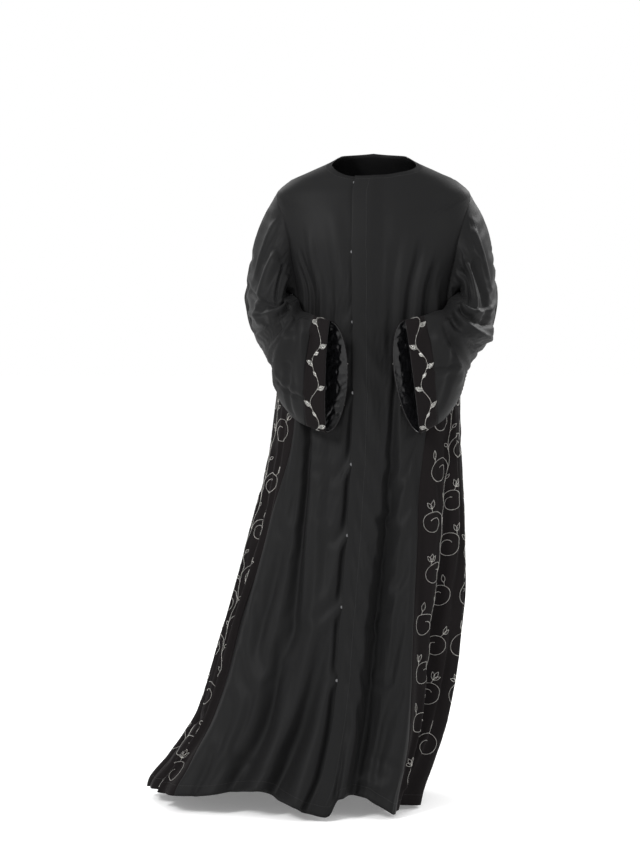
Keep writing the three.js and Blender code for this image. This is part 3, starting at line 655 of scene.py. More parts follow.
def add_grain(material, shader, cell, strength, height, stretch=(1, 1, 1)):
    """A fine bump from noise as large as the weave."""
    tree = material.node_tree
    place = tree.nodes.new("ShaderNodeTexCoord")
    scale = tree.nodes.new("ShaderNodeMapping")
    scale.inputs["Scale"].default_value = stretch
    weave = tree.nodes.new("ShaderNodeTexNoise")
    weave.inputs["Scale"].default_value = 1 / cell
    weave.inputs["Detail"].default_value = 2
    bump = tree.nodes.new("ShaderNodeBump")
    bump.inputs["Strength"].default_value = strength
    bump.inputs["Distance"].default_value = height
    tree.links.new(place.outputs["Object"], scale.inputs["Vector"])
    tree.links.new(scale.outputs["Vector"], weave.inputs["Vector"])
    tree.links.new(weave.outputs["Fac"], bump.inputs["Height"])
    tree.links.new(bump.outputs["Normal"], shader.inputs["Normal"])


def crepe_material():
    material, shader = principled(
        "abaya_crepe",
        (0.0078, 0.0078, 0.008),
        roughness=0.54,
        Sheen_Weight=0.01,
        Sheen_Roughness=0.4,
        Specular_IOR_Level=0.07,
    )
    add_grain(material, shader, cell=0.0011, strength=0.35, height=0.0004)
    return material


def velvet_material():
    material, shader = principled(
        "abaya_velvet",
        (0.0062, 0.0052, 0.0054),
        roughness=0.85,
        Sheen_Weight=0.03,
        Sheen_Roughness=0.3,
        Sheen_Tint=(1, 0.92, 0.94, 1),
        Specular_IOR_Level=0.06,
    )
    add_grain(material, shader, cell=0.0009, strength=0.6, height=0.0006)
    return material


def satin_material():
    material, shader = principled(
        "abaya_satin", (0.0035, 0.0035, 0.004), roughness=0.24, Specular_IOR_Level=0.3
    )
    add_grain(material, shader, cell=0.004, strength=0.25, height=0.0008, stretch=(1, 1, 0.35))
    return material


def silver_material(name, color, roughness):
    return principled(name, color, roughness, Metallic=1)[0]


CREPE = crepe_material()
VELVET = velvet_material()
SATIN_LOOK = satin_material()
BEAD_LOOK = silver_material("abaya_bead", (0.56, 0.55, 0.52), 0.3)
SEQUIN_LOOK = silver_material("abaya_sequin", (0.42, 0.42, 0.4), 0.22)
SNAP_LOOK = silver_material("abaya_snap", (0.16, 0.16, 0.165), 0.34)
THREAD = principled("abaya_thread", (0.009, 0.009, 0.0092), 0.6)[0]

# ---- the body's panels ----
SEAM_PUCKER = 0.0012  # how far the cloth sinks at a sewn edge
PUCKER_WIDTH = 0.005
SNAPS = {"lowest": 0.288, "pitch": 0.148, "count": 8, "pull": 0.0024, "spread": 0.012}
# between the snaps the right front sinks beside the left one's edge, from the waist down
GAP = {"depth": 0.008, "offset": 0.003, "width": 0.013, "spread": 0.022, "top": 1, "fade": 0.3}
ALL_SHARES = np.linspace(0, 1, ROWS + 1)
SIDE_SHARES = np.linspace(0, UNDERARM_SHARE, int(ROWS * UNDERARM_SHARE) + 1)
HALF_GAP = SEAM_GAP / 2


def snap_heights():
    return [SNAPS["lowest"] + i * SNAPS["pitch"] for i in range(SNAPS["count"])]


def bell(x):
    return np.exp(-(x**2))


def edge_pull(z):
    """Each snap draws the left front's edge in a little, and shows beyond it."""
    return sum(SNAPS["pull"] * bell((z - at) / SNAPS["spread"]) for at in snap_heights())


def panel(start, end, columns, shares, sewn=(True, True), lift=None, pull=False):
    """Grid of points and normals between two seam lines, given as turns on every row."""
    across = np.linspace(0, 1, columns + 1)
    turns = lerp(start[:, None], end[:, None], across[None])
    z = row_height(shares[:, None], turns)
    per_degree = per_degree_at(turns, z)
    from_start = (turns - start[:, None]) * per_degree
    if pull:
        drawn = edge_pull(z) * np.exp(-from_start / SNAPS["spread"])
        turns = turns + drawn / per_degree
    points = body_point(turns, z)
    normals = body_normal(turns, z)
    to_end = (end[:, None] - turns) * per_degree
    raised = np.zeros_like(z)
    if sewn[0]:
        raised -= SEAM_PUCKER * bell(from_start / PUCKER_WIDTH)
    if sewn[1]:
        raised -= SEAM_PUCKER * bell(to_end / PUCKER_WIDTH)
    if lift is not None:
        raised += lift(from_start, to_end, z)
    return points + normals * raised[..., None], normals


def placket_lift(from_edge, _to_seam, _z):
    return RAISED * (1 - smooth((from_edge - PLACKET) / PLACKET_EASE))


def placket_gap(_from_seam, to_edge, z):
    between = np.prod([1 - bell((z - at) / GAP["spread"]) for at in snap_heights()], axis=0)
    across = (to_edge - UNDERLAP - GAP["offset"]) / GAP["width"]
    return -GAP["depth"] * hump(across) * between * smooth((GAP["top"] - z) / GAP["fade"])


def panel_grids():
    """Each body panel as drawn: its grid of points and its normals."""
    grids = {}
    opening = turn_on(SEAM["opening"], ALL_SHARES)
    left_seam = turn_beside(SEAM["left_front"], ALL_SHARES, -HALF_GAP)
    right_seam = turn_beside(SEAM["right_front"], ALL_SHARES, HALF_GAP)
    under = turn_beside(SEAM["opening"], ALL_SHARES, UNDERLAP)
    grids["front_left"] = panel(
        opening, left_seam, COLUMNS["front"], ALL_SHARES, (False, True), placket_lift, True
    )
    grids["front_right"] = panel(right_seam, under, COLUMNS["front"], ALL_SHARES, (True, False), placket_gap)
    back_start = turn_beside(SEAM["left_back"], ALL_SHARES, HALF_GAP)
    back_end = turn_beside(SEAM["right_back"], ALL_SHARES, -HALF_GAP) + 360
    grids["back"] = panel(back_start, back_end, COLUMNS["back"], ALL_SHARES)
    for side, first, last in (("left", "left_front", "left_back"), ("right", "right_back", "right_front")):
        start = turn_beside(SEAM[first], SIDE_SHARES, HALF_GAP)
        end = turn_beside(SEAM[last], SIDE_SHARES, -HALF_GAP)
        grids[f"side_{side}"] = panel(start, end, COLUMNS["side"], SIDE_SHARES)
    return grids


def build_panels():
    grids = panel_grids()
    for node, (points, normals) in grids.items():
        rows, columns = points.shape[:2]
        across = np.linspace(0, 1, columns)[None]
        up = np.linspace(0, 1, rows)[:, None]
        free = smooth(across / PANEL_FREES["side"]) * smooth((1 - across) / PANEL_FREES["side"])
        points = buckle(points, free * smooth((1 - up) / PANEL_FREES["top"]), PANEL_CLOTH)
        points[..., 2] = np.maximum(points[..., 2], cad_box[0][2] + FLOOR_CLEARANCE)
        normals = grid_normals(points, False, normals)
        grids[node] = points, normals
        look, slot = (VELVET, "velvet") if node.startswith("side") else (CREPE, "crepe")
        settle(shell(f"{node}_cloth", points, normals, CLOTH), look, slot, node)
    return grids


# ---- sleeves ----
ELBOW_STATION = 4
FOLDS_FROM = {"armhole": 0.12, "cuff": 0.15}  # shares over which the folds fade in from each end
RIPPLE = {"depth": 0.0012, "around": 9, "along": 7, "seed": 11}
SATIN_WAVE = {"depth": 0.0022, "swing": 0.6, "around": 23, "along": 30, "seed": 21}
TUCK = {"rows": 1.6, "depth": 0.0022}


def armhole_loop(side):
    """Points and normals round the armhole: down the front's edge, under the arm, up the back's edge."""
    edge = np.linspace(CAP_SHARE, UNDERARM_SHARE, SLEEVE_ROUND["edge"] + 1)
    under = np.full(SLEEVE_ROUND["side"] + 1, UNDERARM_SHARE)
    front = turn_on(SEAM[f"{side}_front"], edge)
    back = turn_on(SEAM[f"{side}_back"], edge)
    across = np.linspace(front[-1], back[-1], SLEEVE_ROUND["side"] + 1)
    turns = np.concatenate([front[:-1], across[:-1], back[:0:-1]])
    shares = np.concatenate([edge[:-1], under[:-1], edge[:0:-1]])
    z = row_height(shares, turns)
    return body_point(turns, z), body_normal(turns, z)


def root_distance(start, end):
    return np.sqrt(np.linalg.norm(end - start, axis=-1, keepdims=True))


def track_points(stations):
    """Tracks through the stations' like spots, as centripetal Catmull-Rom curves, with their lengths."""
    first = 2 * stations[:1] - stations[1:2]
    last = 2 * stations[-1:] - stations[-2:-1]
    points = np.concatenate([first, stations, last])
    fine = []
    for i in range(1, len(points) - 2):
        p0, p1, p2, p3 = points[i - 1 : i + 3]
        d0, d1, d2 = root_distance(p0, p1), root_distance(p1, p2), root_distance(p2, p3)
        t1 = ((p1 - p0) / d0 - (p2 - p0) / (d0 + d1) + (p2 - p1) / d1) * d1
        t2 = ((p2 - p1) / d1 - (p3 - p1) / (d1 + d2) + (p3 - p2) / d2) * d1
        square = 3 * (p2 - p1) - 2 * t1 - t2
        cube = 2 * (p1 - p2) + t1 + t2
        for t in np.linspace(0, 1, TRACK_STEPS + 1)[:-1]:
            fine.append(p1 + t1 * t + square * t * t + cube * t**3)
    fine.append(points[-2])
    fine = np.array(fine)
    steps = np.linalg.norm(np.diff(fine, axis=0), axis=-1)
    gone = np.concatenate([np.zeros((1, fine.shape[1])), np.cumsum(steps, 0)])
    lengths = gone[-1]

    def sample(along):
        out = np.empty(along.shape + (3,))
        for i in range(fine.shape[1]):
            for axis in range(3):
                out[:, i, axis] = np.interp(along[:, i] * lengths[i], gone[:, i], fine[:, i, axis])
        return out

    return sample, lengths


def clear_of_body(points, clearance):
    """Moves points out from the figure until they clear the body's surface."""
    z = points[..., 2] + HOLD_HEIGHT
    axis = SECTION["axis"](z)
    x = points[..., 0] - axis
    y = points[..., 1]
    reach_x = np.where(x > 0, SECTION["right"](z) - axis, axis - SECTION["left"](z))
    reach_y = np.where(y < 0, -SECTION["front"](z), SECTION["back"](z))
    u = x / reach_x
    v = y / reach_y
    at = (np.abs(u) ** SQUARENESS + np.abs(v) ** SQUARENESS) ** (1 / SQUARENESS)
    turn = np.degrees(np.arctan2(u, -v))
    room = clearance + np.maximum(fold_reach(turn, z), 0)
    wanted = 1 + room / np.hypot(x, y) * at
    grow = np.maximum(wanted / at, 1)
    return np.stack([axis + x * grow, y * grow, points[..., 2]], axis=-1)


class Sleeve:
    """A sleeve's surface, by a share round it and a share along it from the armhole to the cuff's edge."""

    def __init__(self, side):
        loop, self.rim_normals = armhole_loop(side)
        self.side = 1 if side == "left" else -1
        self.folds = SLEEVE_FOLDS[side]
        following = np.roll(loop, -1, 0) - np.roll(loop, 1, 0)
        into = unit(np.cross(following, self.rim_normals))
        centre = loop.mean(0)
        into *= np.sign(np.einsum("ij,ij->i", into, centre - loop))[:, None]
        rim = loop + into * SEAM_GAP
        steps = np.linalg.norm(np.roll(rim, -1, 0) - rim, axis=-1)
        self.shares = np.concatenate([[0], np.cumsum(steps)[:-1]]) / steps.sum()
        c = np.cos(2 * math.pi * self.shares)
        s = np.sin(2 * math.pi * self.shares)
        stations = [rim]
        for spots in SLEEVES[side]:
            outer, front, inner, back = (np.array(p) - (0, 0, HOLD_HEIGHT) for p in spots)
            middle = (outer + inner) / 2
            one = np.where(c[:, None] > 0, outer, inner) - middle
            other = np.where(s[:, None] > 0, front, back) - middle
            stations.append(middle + one * np.abs(c)[:, None] + other * np.abs(s)[:, None])
        self.track, self.lengths = track_points(np.array(stations))
        elbow = stations[ELBOW_STATION]
        self.girth = np.linalg.norm(np.roll(elbow, -1, 0) - elbow, axis=-1).sum()

    def plain(self, along):
        open_up = SLEEVE_CLEARANCE * smooth(along / CLEAR_FROM)
        return clear_of_body(self.track(along), open_up)

    def normals_of(self, points, along_points):
        round_step = np.roll(points, -1, 1) - np.roll(points, 1, 1)
        return unit(np.cross(round_step, along_points) * self.side)

    def reach(self, along):
        """The folds as soft lines on the sleeve laid flat, each half as deep at its far end."""
        ends = smooth(along / FOLDS_FROM["armhole"]) * smooth((1 - along) / FOLDS_FROM["cuff"])
        around = self.shares[None] * RIPPLE["around"] + 0 * along
        reach = RIPPLE["depth"] * mottle(around, along * RIPPLE["along"], RIPPLE["seed"]) * ends
        for round_at, at, to_round, to, width, depth in self.folds:
            run_x = (to_round - round_at) * self.girth
            run_y = (to - at) * self.lengths[None]
            x = self.shares[None] * self.girth - round_at * self.girth
            y = along * self.lengths[None] - at * self.lengths[None]
            share = np.clip((x * run_x + y * run_y) / (run_x**2 + run_y**2), 0, 1)
            off = np.hypot(x - share * run_x, y - share * run_y) / width
            reach = reach + depth * ends * (1 - share / 2) * hump(off)
        return reach

    def grid(self, along, sunk=0.0):
        """Points and normals for rows of shares along each track."""

        def ahead_of(surface, shares):
            return surface(np.clip(shares + ALONG_STEP, 0, 1)) - surface(np.clip(shares - ALONG_STEP, 0, 1))

        def folded(shares):
            base = self.plain(shares)
            normal = self.normals_of(base, ahead_of(self.plain, shares))
            return base + normal * self.reach(shares)[..., None]

        points = folded(along)
        normals = self.normals_of(points, ahead_of(folded, along))
        rim = along[:, :1] == 0
        normals = np.where(rim[..., None], self.rim_normals[None], normals)
        return points - normals * sunk, normals

    def sleeve_rows(self, shares):
        return shares[:, None] * (1 - (CUFF_WIDTH + SEAM_GAP) / self.lengths[None])

    def cuff_rows(self, shares):
        return 1 - (1 - shares[:, None]) * CUFF_WIDTH / self.lengths[None]


def build_sleeve_cloth(sleeve, side):
    """The sleeve, with one more row tucked under the body's edge at the armhole."""
    shares = np.linspace(0, 1, SLEEVE_ROWS + 1)
    points, normals = sleeve.grid(sleeve.sleeve_rows(shares))
    free = smooth(shares / SLEEVE_FREES["armhole"])
    free = free * smooth((SLEEVE_FREES["until"] - shares) / SLEEVE_FREES["cuff"])
    points = buckle(points, free[:, None], SLEEVE_CLOTH, True)
    normals = np.concatenate([normals[:1], grid_normals(points, True, normals)[1:]])
    tuck = points[:1] - (points[1:2] - points[:1]) * TUCK["rows"] - normals[:1] * TUCK["depth"]
    points = np.concatenate([tuck, points])
    normals = np.concatenate([normals[:1], normals])
    cloth = shell(f"sleeve_{side}_cloth", points, normals, CLOTH, True)
    settle(cloth, CREPE, "crepe", f"sleeve_{side}")


def build_cuff(sleeve, side):
    points, normals = sleeve.grid(sleeve.cuff_rows(np.linspace(0, 1, CUFF_ROWS + 1)))
    band = shell(f"cuff_{side}_band", points, normals, CLOTH, True)
    settle(band, VELVET, "velvet", f"cuff_{side}")
    bead_cuff(side, points, normals)


def build_facing(sleeve, side):
    """The satin inside the cuff and the end of the sleeve, sewn at the cuff's edge and loose above it."""
    half = FACING_ROWS // 2
    upper = sleeve.sleeve_rows(np.linspace(FACING_FROM, 1, half + 1))
    lower = sleeve.cuff_rows(np.linspace(0, 1, half + 1)[1:])
    rows = np.concatenate([upper, lower])
    points, normals = sleeve.grid(rows, WALL + SEAM_GAP)
    free = smooth((1 - rows) / FACING_FREES)
    around = sleeve.shares[None] * SATIN_WAVE["around"] + 0 * rows
    wave = mottle(around, rows * SATIN_WAVE["along"], SATIN_WAVE["seed"])
    sunk = SATIN_WAVE["depth"] * free * (1 + SATIN_WAVE["swing"] * wave)
    points = buckle(points - normals * sunk[..., None], free, FACING_CLOTH, True)
    satin = shell(f"facing_{side}_satin", points, grid_normals(points, True, normals), SATIN, True)
    settle(satin, SATIN_LOOK, "satin", f"facing_{side}")


# ---- beadwork: drawn flat as lines of (across, up), then laid on the cloth ----
BEAD = {"length": 0.0022, "width": 0.0013, "height": 0.0011}
BEAD_PITCH = 0.0027
SEQUIN = {"length": 0.0026, "width": 0.0026, "height": 0.0005}
SEQUIN_PITCH = 0.0025
STITCH = {"length": 0.0027, "width": 0.0006, "height": 0.0004}
STITCH_PITCH = 0.0036
HEM_TURNING = 0.022
NECK_TURNING = 0.007
PLACKET_STITCH = 0.031
VINE_PITCH = 0.106  # from one scroll to the next on the same side of a stem
SCROLL_RADIUS = 0.027
# a scroll is wider than high, closes by a share of its radius, ever tighter, and drifts back to its stem
SCROLL = {"across": 1.2, "up": 1.08, "closes": 0.66, "tightens": 1.25, "drifts": 0.1}
STEM_WAVES = ((0.0055, 1.9, 1), (0.002, 0.7, 2))  # swing, length in vine pitches, times the phase
SCROLL_SIDES = ((-1, 0, 0), (1, 0.46, 3))  # side, how far up in vine pitches, and its first sprig
SPRIG_TURNS = {1: (0.0,), 2: (-0.42, 0.42), 3: (-0.72, 0.0, 0.72)}
SPRIG_STALK = 0.008
LEAF_SHAPE = {"early": 0.85, "full": 0.9}
LEAF_POINTS = 14
STALK_POINTS = 6
SCROLL_POINTS = 60
LEAF_SLIMNESS = 0.42
BUD = {"stalk": 0.009, "bend": 0.4, "length": 0.0105, "width": 0.0062}
UPWARD = math.pi / 2
SPRIG_FROM = (11, 17)  # of a scroll's points, where its sprig may stand
LINE_POINTS = 400
VINE_TIP = 0.03  # bare of scrolls
SHORTEST_WAY = 1e-7
VINE_SEED = 40
RAISED_BEAD = 0.0004  # of a bead's middle over the cloth
RAISED_STITCH = 0.0001
BEAD_TILT = 0.25
SEQUIN_TILT = 0.35
BEAD_MARGIN = 0.005
STITCH_MARGIN = 0.003
PANEL_LENGTH = 1.36  # of the whole way from hem to neckline

# each vine rises beside the front seam or further round: side, distance from the front seam at the hem
# and at the top, lowest and highest point, and where its first scroll falls
VINES = (
    # side, across_hem, across_top, low, high, first
    ("left", 0.078, 0.072, 0.02, 1.05, 0.055),
    ("left", 0.222, 0.196, 0.0, 1.03, 0.012),
    ("left", 0.365, 0.32, 0.03, 0.7, 0.07),
    ("right", 0.082, 0.07, 0.01, 1.05, 0.03),
    ("right", 0.23, 0.196, 0.02, 1.03, 0.075),
    ("right", 0.375, 0.33, 0.0, 0.8, 0.04),
    ("right", 0.52, 0.46, 0.02, 0.38, 0.09),
)
SPRIGS = (3, 1, 2, 1, 3, 2, 1, 2)  # leaves on each scroll in turn


class Cloth:
    """A grid of points that flat lines can be laid on, measured across from its first column."""

    def __init__(self, points, normals, height, closed=False):
        if closed:
            points = np.concatenate([points, points[:, :1]], axis=1)
            normals = np.concatenate([normals, normals[:, :1]], axis=1)
        self.points = points
        self.normals = normals
        self.height = height
        steps = np.linalg.norm(np.diff(points, axis=1), axis=-1)
        self.gone = np.concatenate([np.zeros((len(points), 1)), np.cumsum(steps, axis=1)], axis=1)

    def width_at(self, up):
        return np.interp(up / self.height, np.linspace(0, 1, len(self.gone)), self.gone[:, -1])

    def lay(self, across, up):
        """The points and normals on the cloth of flat points."""
        row = np.clip(up / self.height, 0, 1) * (len(self.points) - 1)
        low = np.minimum(row.astype(int), len(self.points) - 2)
        t = (row - low)[:, None]
        found = []
        for line in (low, low + 1):
            gone = self.gone[line]
            column = np.clip((gone < across[:, None]).sum(1) - 1, 0, gone.shape[1] - 2)
            here = np.arange(len(across))
            before, after = gone[here, column], gone[here, column + 1]
            u = np.clip((across - before) / (after - before), 0, 1)[:, None]
            point = lerp(self.points[line, column], self.points[line, column + 1], u)
            normal = lerp(self.normals[line, column], self.normals[line, column + 1], u)
            found.append((point, normal))
        (low_point, low_normal), (high_point, high_normal) = found
        return lerp(low_point, high_point, t), unit(lerp(low_normal, high_normal, t))


def even(line, pitch):
    """The line's points at an even pitch, with the way it runs at each."""
    line = np.asarray(line, float)
    gone = np.concatenate([[0], np.cumsum(np.hypot(*np.diff(line, axis=0).T))])
    count = max(int(round(gone[-1] / pitch)), 2)
    at = (np.arange(count) + 0.5) * gone[-1] / count

    def spot(place):
        return np.stack([np.interp(place, gone, line[:, k]) for k in (0, 1)], axis=-1)

    return spot(at), spot(at + pitch / 2) - spot(at - pitch / 2)


def scroll(x, y, side, radius, turns, lean):
    """A spiral that leaves the stem upward at (x, y) and curls in on the given side of it."""
    angle = np.linspace(0, 2 * math.pi * turns, SCROLL_POINTS)
    share = angle / angle[-1]
    reach = radius * (1 - SCROLL["closes"] * share ** SCROLL["tightens"])
    drift = radius * (SCROLL["drifts"] * share)
    across = side * SCROLL["across"] * (radius - reach * np.cos(angle) - drift)
    up = reach * np.sin(angle) * SCROLL["up"]
    c = math.cos(lean * side)
    s = math.sin(lean * side)
    return np.stack([x + c * across - s * up, y + s * across + c * up], axis=-1)


def leaf(x, y, heading, length, width):
    """A closed pointed outline with its stalk end at (x, y), widest a little before its middle."""
    t = np.concatenate([np.linspace(0, 1, LEAF_POINTS), np.linspace(1, 0, LEAF_POINTS)[1:]])
    half = np.concatenate([np.ones(LEAF_POINTS), -np.ones(LEAF_POINTS - 1)]) * width / 2
    swell = half * np.sin(math.pi * t ** LEAF_SHAPE["early"]) ** LEAF_SHAPE["full"]
    c = math.cos(heading)
    s = math.sin(heading)
    return np.stack([x + length * t * c - swell * s, y + length * t * s + swell * c], axis=-1)


def stalk(x, y, heading, length, bend):
    t = np.linspace(0, 1, STALK_POINTS)
    turned = heading + bend * t
    return np.stack([x + length * t * np.cos(turned), y + length * t * np.sin(turned)], axis=-1)


def sprig(x, y, heading, leaves, random):
    """A short stalk that ends in one to three outlined leaves."""
    bend = random.uniform(-0.3, 0.3)
    stem = stalk(x, y, heading, SPRIG_STALK, bend)
    lines = [stem]
    for turn in SPRIG_TURNS[leaves]:
        length = random.uniform(0.0145, 0.018) * (1.1 if turn == 0 else 1)
        lines.append(leaf(*stem[-1], heading + bend + turn, length, length * LEAF_SLIMNESS))
    return lines


def vine(across_hem, across_top, low, high, first, random):
    """A rising stem with a scroll to each side in turn, sprigs on the scrolls and buds on the stem."""
    phase = random.uniform(0, 2 * math.pi)

    def stem_at(y):
        across = lerp(across_hem, across_top, y / PANEL_LENGTH)
        for swing, length, times in STEM_WAVES:
            across = across + swing * np.sin(2 * math.pi * y / (VINE_PITCH * length) + times * phase)
        return across

    y = np.linspace(low, high, LINE_POINTS)
    lines = [np.stack([stem_at(y), y], axis=-1)]
    for side, offset, number in SCROLL_SIDES:
        at = low + (first + offset * VINE_PITCH)
        while at < high - VINE_TIP:
            radius = SCROLL_RADIUS * random.uniform(0.88, 1.08)
            turns = random.uniform(1.16, 1.42)
            lean = random.uniform(-0.3, 0.16)
            curl = scroll(stem_at(at), at, side, radius, turns, lean)
            lines.append(curl)
            out = curl[random.integers(*SPRIG_FROM)]
            heading = UPWARD - side * random.uniform(-0.2, 0.75)
            lines += sprig(*out, heading, SPRIGS[number % len(SPRIGS)], random)
            bud_y = at + random.uniform(0.036, 0.05)
            bud_heading = UPWARD - side * random.uniform(0.6, 1.0)
            shoot = stalk(stem_at(bud_y), bud_y, bud_heading, BUD["stalk"], side * BUD["bend"])
            lines += [shoot, leaf(*shoot[-1], bud_heading, BUD["length"], BUD["width"])]
            at += VINE_PITCH * random.uniform(0.95, 1.07)
            number += 1
    return lines


def lay_grains(name, cloth, lines, pitch, shape, raised, margin=None, tilt=0.0, seed=5):
    """Lays beads or stitches along flat lines on the cloth, leaving out those past its edges."""
    laid = [even(line, pitch) for line in lines]
    spots = np.concatenate([spot for spot, _ in laid])
    ways = np.concatenate([way for _, way in laid])
    if margin is not None:
        width = cloth.width_at(spots[:, 1])
        keep = (spots[:, 0] > margin) & (spots[:, 0] < width - margin)
        keep &= (spots[:, 1] > margin) & (spots[:, 1] < cloth.height - margin)
        spots, ways = spots[keep], ways[keep]
    points, normals = cloth.lay(spots[:, 0], spots[:, 1])
    ahead, _ = cloth.lay(spots[:, 0] + ways[:, 0] / 2, spots[:, 1] + ways[:, 1] / 2)
    behind, _ = cloth.lay(spots[:, 0] - ways[:, 0] / 2, spots[:, 1] - ways[:, 1] / 2)
    random = np.random.default_rng(seed)
    leaning = unit(normals + tilt * random.normal(size=normals.shape))
    along = ahead - behind
    short = np.linalg.norm(along, axis=-1) < SHORTEST_WAY
    along[short] = (0, 0, 1)
    points = points + normals * raised
    return grains(name, points, along, leaning, shape["length"], shape["width"], shape["height"])


def bead_side(side, points, normals):
    cloth = Cloth(points, normals, PANEL_LENGTH * UNDERARM_SHARE)
    lines = []
    for number, (which, *numbers) in enumerate(VINES):
        if which == side:
            lines += vine(*numbers, np.random.default_rng(VINE_SEED + number))
    if side == "right":
        for line in lines:
            line[:, 0] = cloth.width_at(line[:, 1]) - line[:, 0]
    piece = lay_grains(
        f"vines_{side}", cloth, lines, BEAD_PITCH, BEAD, RAISED_BEAD, BEAD_MARGIN, BEAD_TILT
    )
    settle(piece, BEAD_LOOK, "snap_metal")


CUFF_WAVE = {"length": 0.088, "swing": 0.0095, "points": 60, "seed": 17}
# on every bend a large leaf outside it, and on two of three a small one across from it:
# share along the bend, heading, and least and greatest length
CUFF_LEAVES = ((0.22, -0.95, (0.0165, 0.0185)), (0.8, 0.8, (0.0105, 0.0125)))
CUFF_STALK = {"length": 0.0035, "bend": 0.15}
CUFF_LEAF_WIDTH = {"outline": 0.5, "fill": 0.46}
LEAF_FILLS = (0.7, 0.38)


def cuff_lines(around):
    """A wavy stem round the band and the leaves that stand off it to each side in turn."""
    waves = round(around / CUFF_WAVE["length"])
    length = around / waves
    x = np.linspace(0, around, CUFF_WAVE["points"] * waves)

    def stem_at(x):
        return CUFF_WIDTH / 2 + CUFF_WAVE["swing"] * np.sin(2 * math.pi * x / length)

    stem = [np.stack([x, stem_at(x)], axis=-1)]
    outlines, fills = [], []
    random = np.random.default_rng(CUFF_WAVE["seed"])
    for i in range(2 * waves):
        up = 1 if i % 2 else -1
        for share, turn, sizes in CUFF_LEAVES[: 1 if i % 3 == 1 else 2]:
            size = random.uniform(*sizes)
            heading = up * turn
            at = (i + share) * length / 2
            shoot = stalk(at, stem_at(at), heading, CUFF_STALK["length"], CUFF_STALK["bend"])
            outlines.append(leaf(*shoot[-1], heading, size, size * CUFF_LEAF_WIDTH["outline"]))
            stem.append(shoot)
            way = np.array([math.cos(heading), math.sin(heading)])
            for inset in LEAF_FILLS:
                start = shoot[-1] + (1 - inset) / 2 * size * way
                fills.append(leaf(*start, heading, size * inset, size * CUFF_LEAF_WIDTH["fill"] * inset))
    return stem + outlines, fills


def bead_cuff(side, points, normals):
    cloth = Cloth(points, normals, CUFF_WIDTH, True)
    lines, fills = cuff_lines(cloth.gone[len(cloth.gone) // 2, -1])
    beads = lay_grains(
        f"cuff_vine_{side}", cloth, lines, BEAD_PITCH, BEAD, RAISED_BEAD, tilt=BEAD_TILT
    )
    settle(beads, BEAD_LOOK, "snap_metal")
    sequins = lay_grains(
        f"cuff_leaves_{side}", cloth, fills, SEQUIN_PITCH, SEQUIN, RAISED_BEAD, tilt=SEQUIN_TILT, seed=9
    )
    settle(sequins, SEQUIN_LOOK, "snap_metal")


def level_line(cloth, up):
    width = float(cloth.width_at(up))
    across = np.linspace(STITCH_MARGIN, width - STITCH_MARGIN, LINE_POINTS)
    return np.stack([across, np.full_like(across, up)], axis=-1)


def stitch_body(node, points, normals):
    """Rows of stitches along the hem and the neck edge, and down the left front's edge."""
    height = PANEL_LENGTH * (UNDERARM_SHARE if node.startswith("side") else 1)
    cloth = Cloth(points, normals, height)
    lines = [level_line(cloth, HEM_TURNING)]
    if not node.startswith("side"):
        lines.append(level_line(cloth, height - NECK_TURNING))
    if node == "front_left":
        up = np.linspace(HEM_TURNING, height - NECK_TURNING, LINE_POINTS)
        lines.append(np.stack([np.full_like(up, PLACKET_STITCH), up], axis=-1))
    piece = lay_grains(f"{node}_stitches", cloth, lines, STITCH_PITCH, STITCH, RAISED_STITCH)
    settle(piece, THREAD, "velvet" if node.startswith("side") else "crepe")


# ---- camera, light and floor ----
LENS = {"lens": 98.2, "sensor_width": 36, "clip_start": 0.05, "clip_end": 60}
CAMERA_PLACE = (-0.118, -5.0, 1.0)
CAMERA_DIP = 2.19
FLOOR_HALF = 60
FLOOR_WHITE = (0.86, 0.86, 0.86)
FLOOR_GLOW = 0.2
LAMP_SIZE = (0.9, 1.3)
LAMPS = (
    # name, place, height it is aimed at, power
    ("key", (-2.4, -3.2, 1.9), -0.4, 170),
    ("fill", (2.8, -2.4, 0.9), -0.5, 26),
    ("back_left", (-2.0, 3.2, 1.9), -0.5, 30),
    ("back_right", (2.6, 2.8, 1.9), -0.5, 90),
)


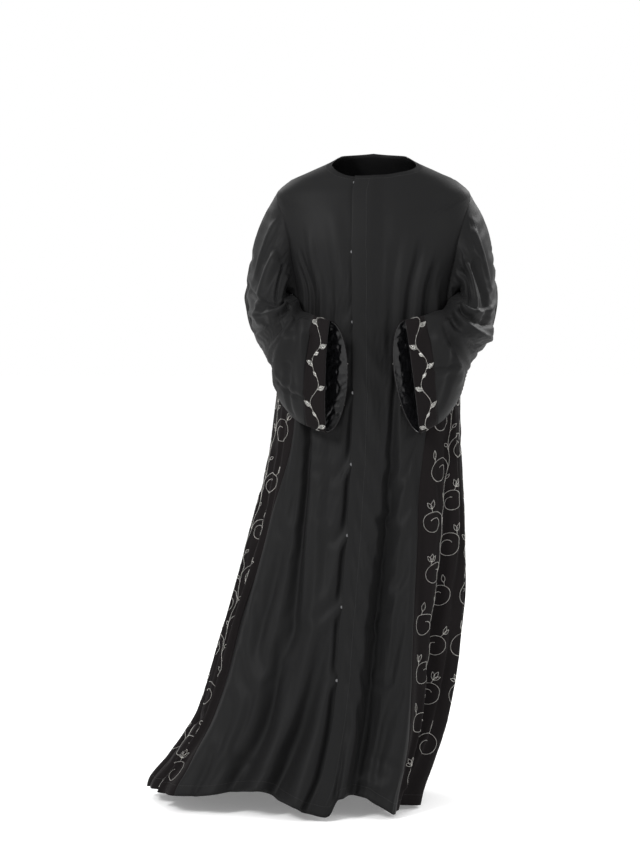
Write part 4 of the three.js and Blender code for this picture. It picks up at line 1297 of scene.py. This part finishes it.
def add_camera():
    camera = bpy.data.cameras.new("camera")
    for setting, value in LENS.items():
        setattr(camera, setting, value)
    view = bpy.data.objects.new("camera", camera)
    x, y, z = CAMERA_PLACE
    view.location = (x, y, z - HOLD_HEIGHT)
    view.rotation_euler = (math.radians(90 - CAMERA_DIP), 0, 0)
    bpy.context.scene.collection.objects.link(view)
    bpy.context.scene.camera = view


def add_lamp(name, place, aim_height, power):
    light = bpy.data.lights.new(name, "AREA")
    light.shape = "RECTANGLE"
    light.size, light.size_y = LAMP_SIZE
    light.energy = power
    lamp = bpy.data.objects.new(name, light)
    lamp.location = place
    x, y, z = np.array((0, 0, aim_height)) - np.array(place)
    lamp.rotation_euler = (math.atan2(math.hypot(x, y), -z), 0, math.atan2(-x, y))
    bpy.context.scene.collection.objects.link(lamp)


def add_stage():
    floor_z = float(cad_box[0][2])
    material, _ = principled(
        "stage_white",
        FLOOR_WHITE,
        roughness=0.9,
        Specular_IOR_Level=0,
        Emission_Color=(1, 1, 1, 1),
        Emission_Strength=FLOOR_GLOW,
    )
    corners = [(-1, -1), (1, -1), (1, 1), (-1, 1)]
    vertices = [(x * FLOOR_HALF, y * FLOOR_HALF, floor_z) for x, y in corners]
    floor = add_object("floor", vertices, [(0, 1, 2, 3)], False)
    floor.data.materials.append(material)
    world = bpy.data.worlds.new("studio")
    world.use_nodes = True
    background = world.node_tree.nodes["Background"]
    background.inputs["Color"].default_value = (1, 1, 1, 1)
    background.inputs["Strength"].default_value = 1
    bpy.context.scene.world = world
    bpy.context.scene.view_settings.view_transform = "Standard"


# ---- the whole ----
grids = build_panels()
for node, (points, normals) in grids.items():
    stitch_body(node, points, normals)
for side in ("left", "right"):
    bead_side(side, *grids[f"side_{side}"])
for side in ("left", "right"):
    sleeve = Sleeve(side)
    build_sleeve_cloth(sleeve, side)
    build_cuff(sleeve, side)
    build_facing(sleeve, side)
for node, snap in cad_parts.items():
    if node.startswith("snap"):
        snap.data.materials.clear()
        snap.data.materials.append(SNAP_LOOK)
add_camera()
add_stage()
for lamp in LAMPS:
    add_lamp(*lamp)
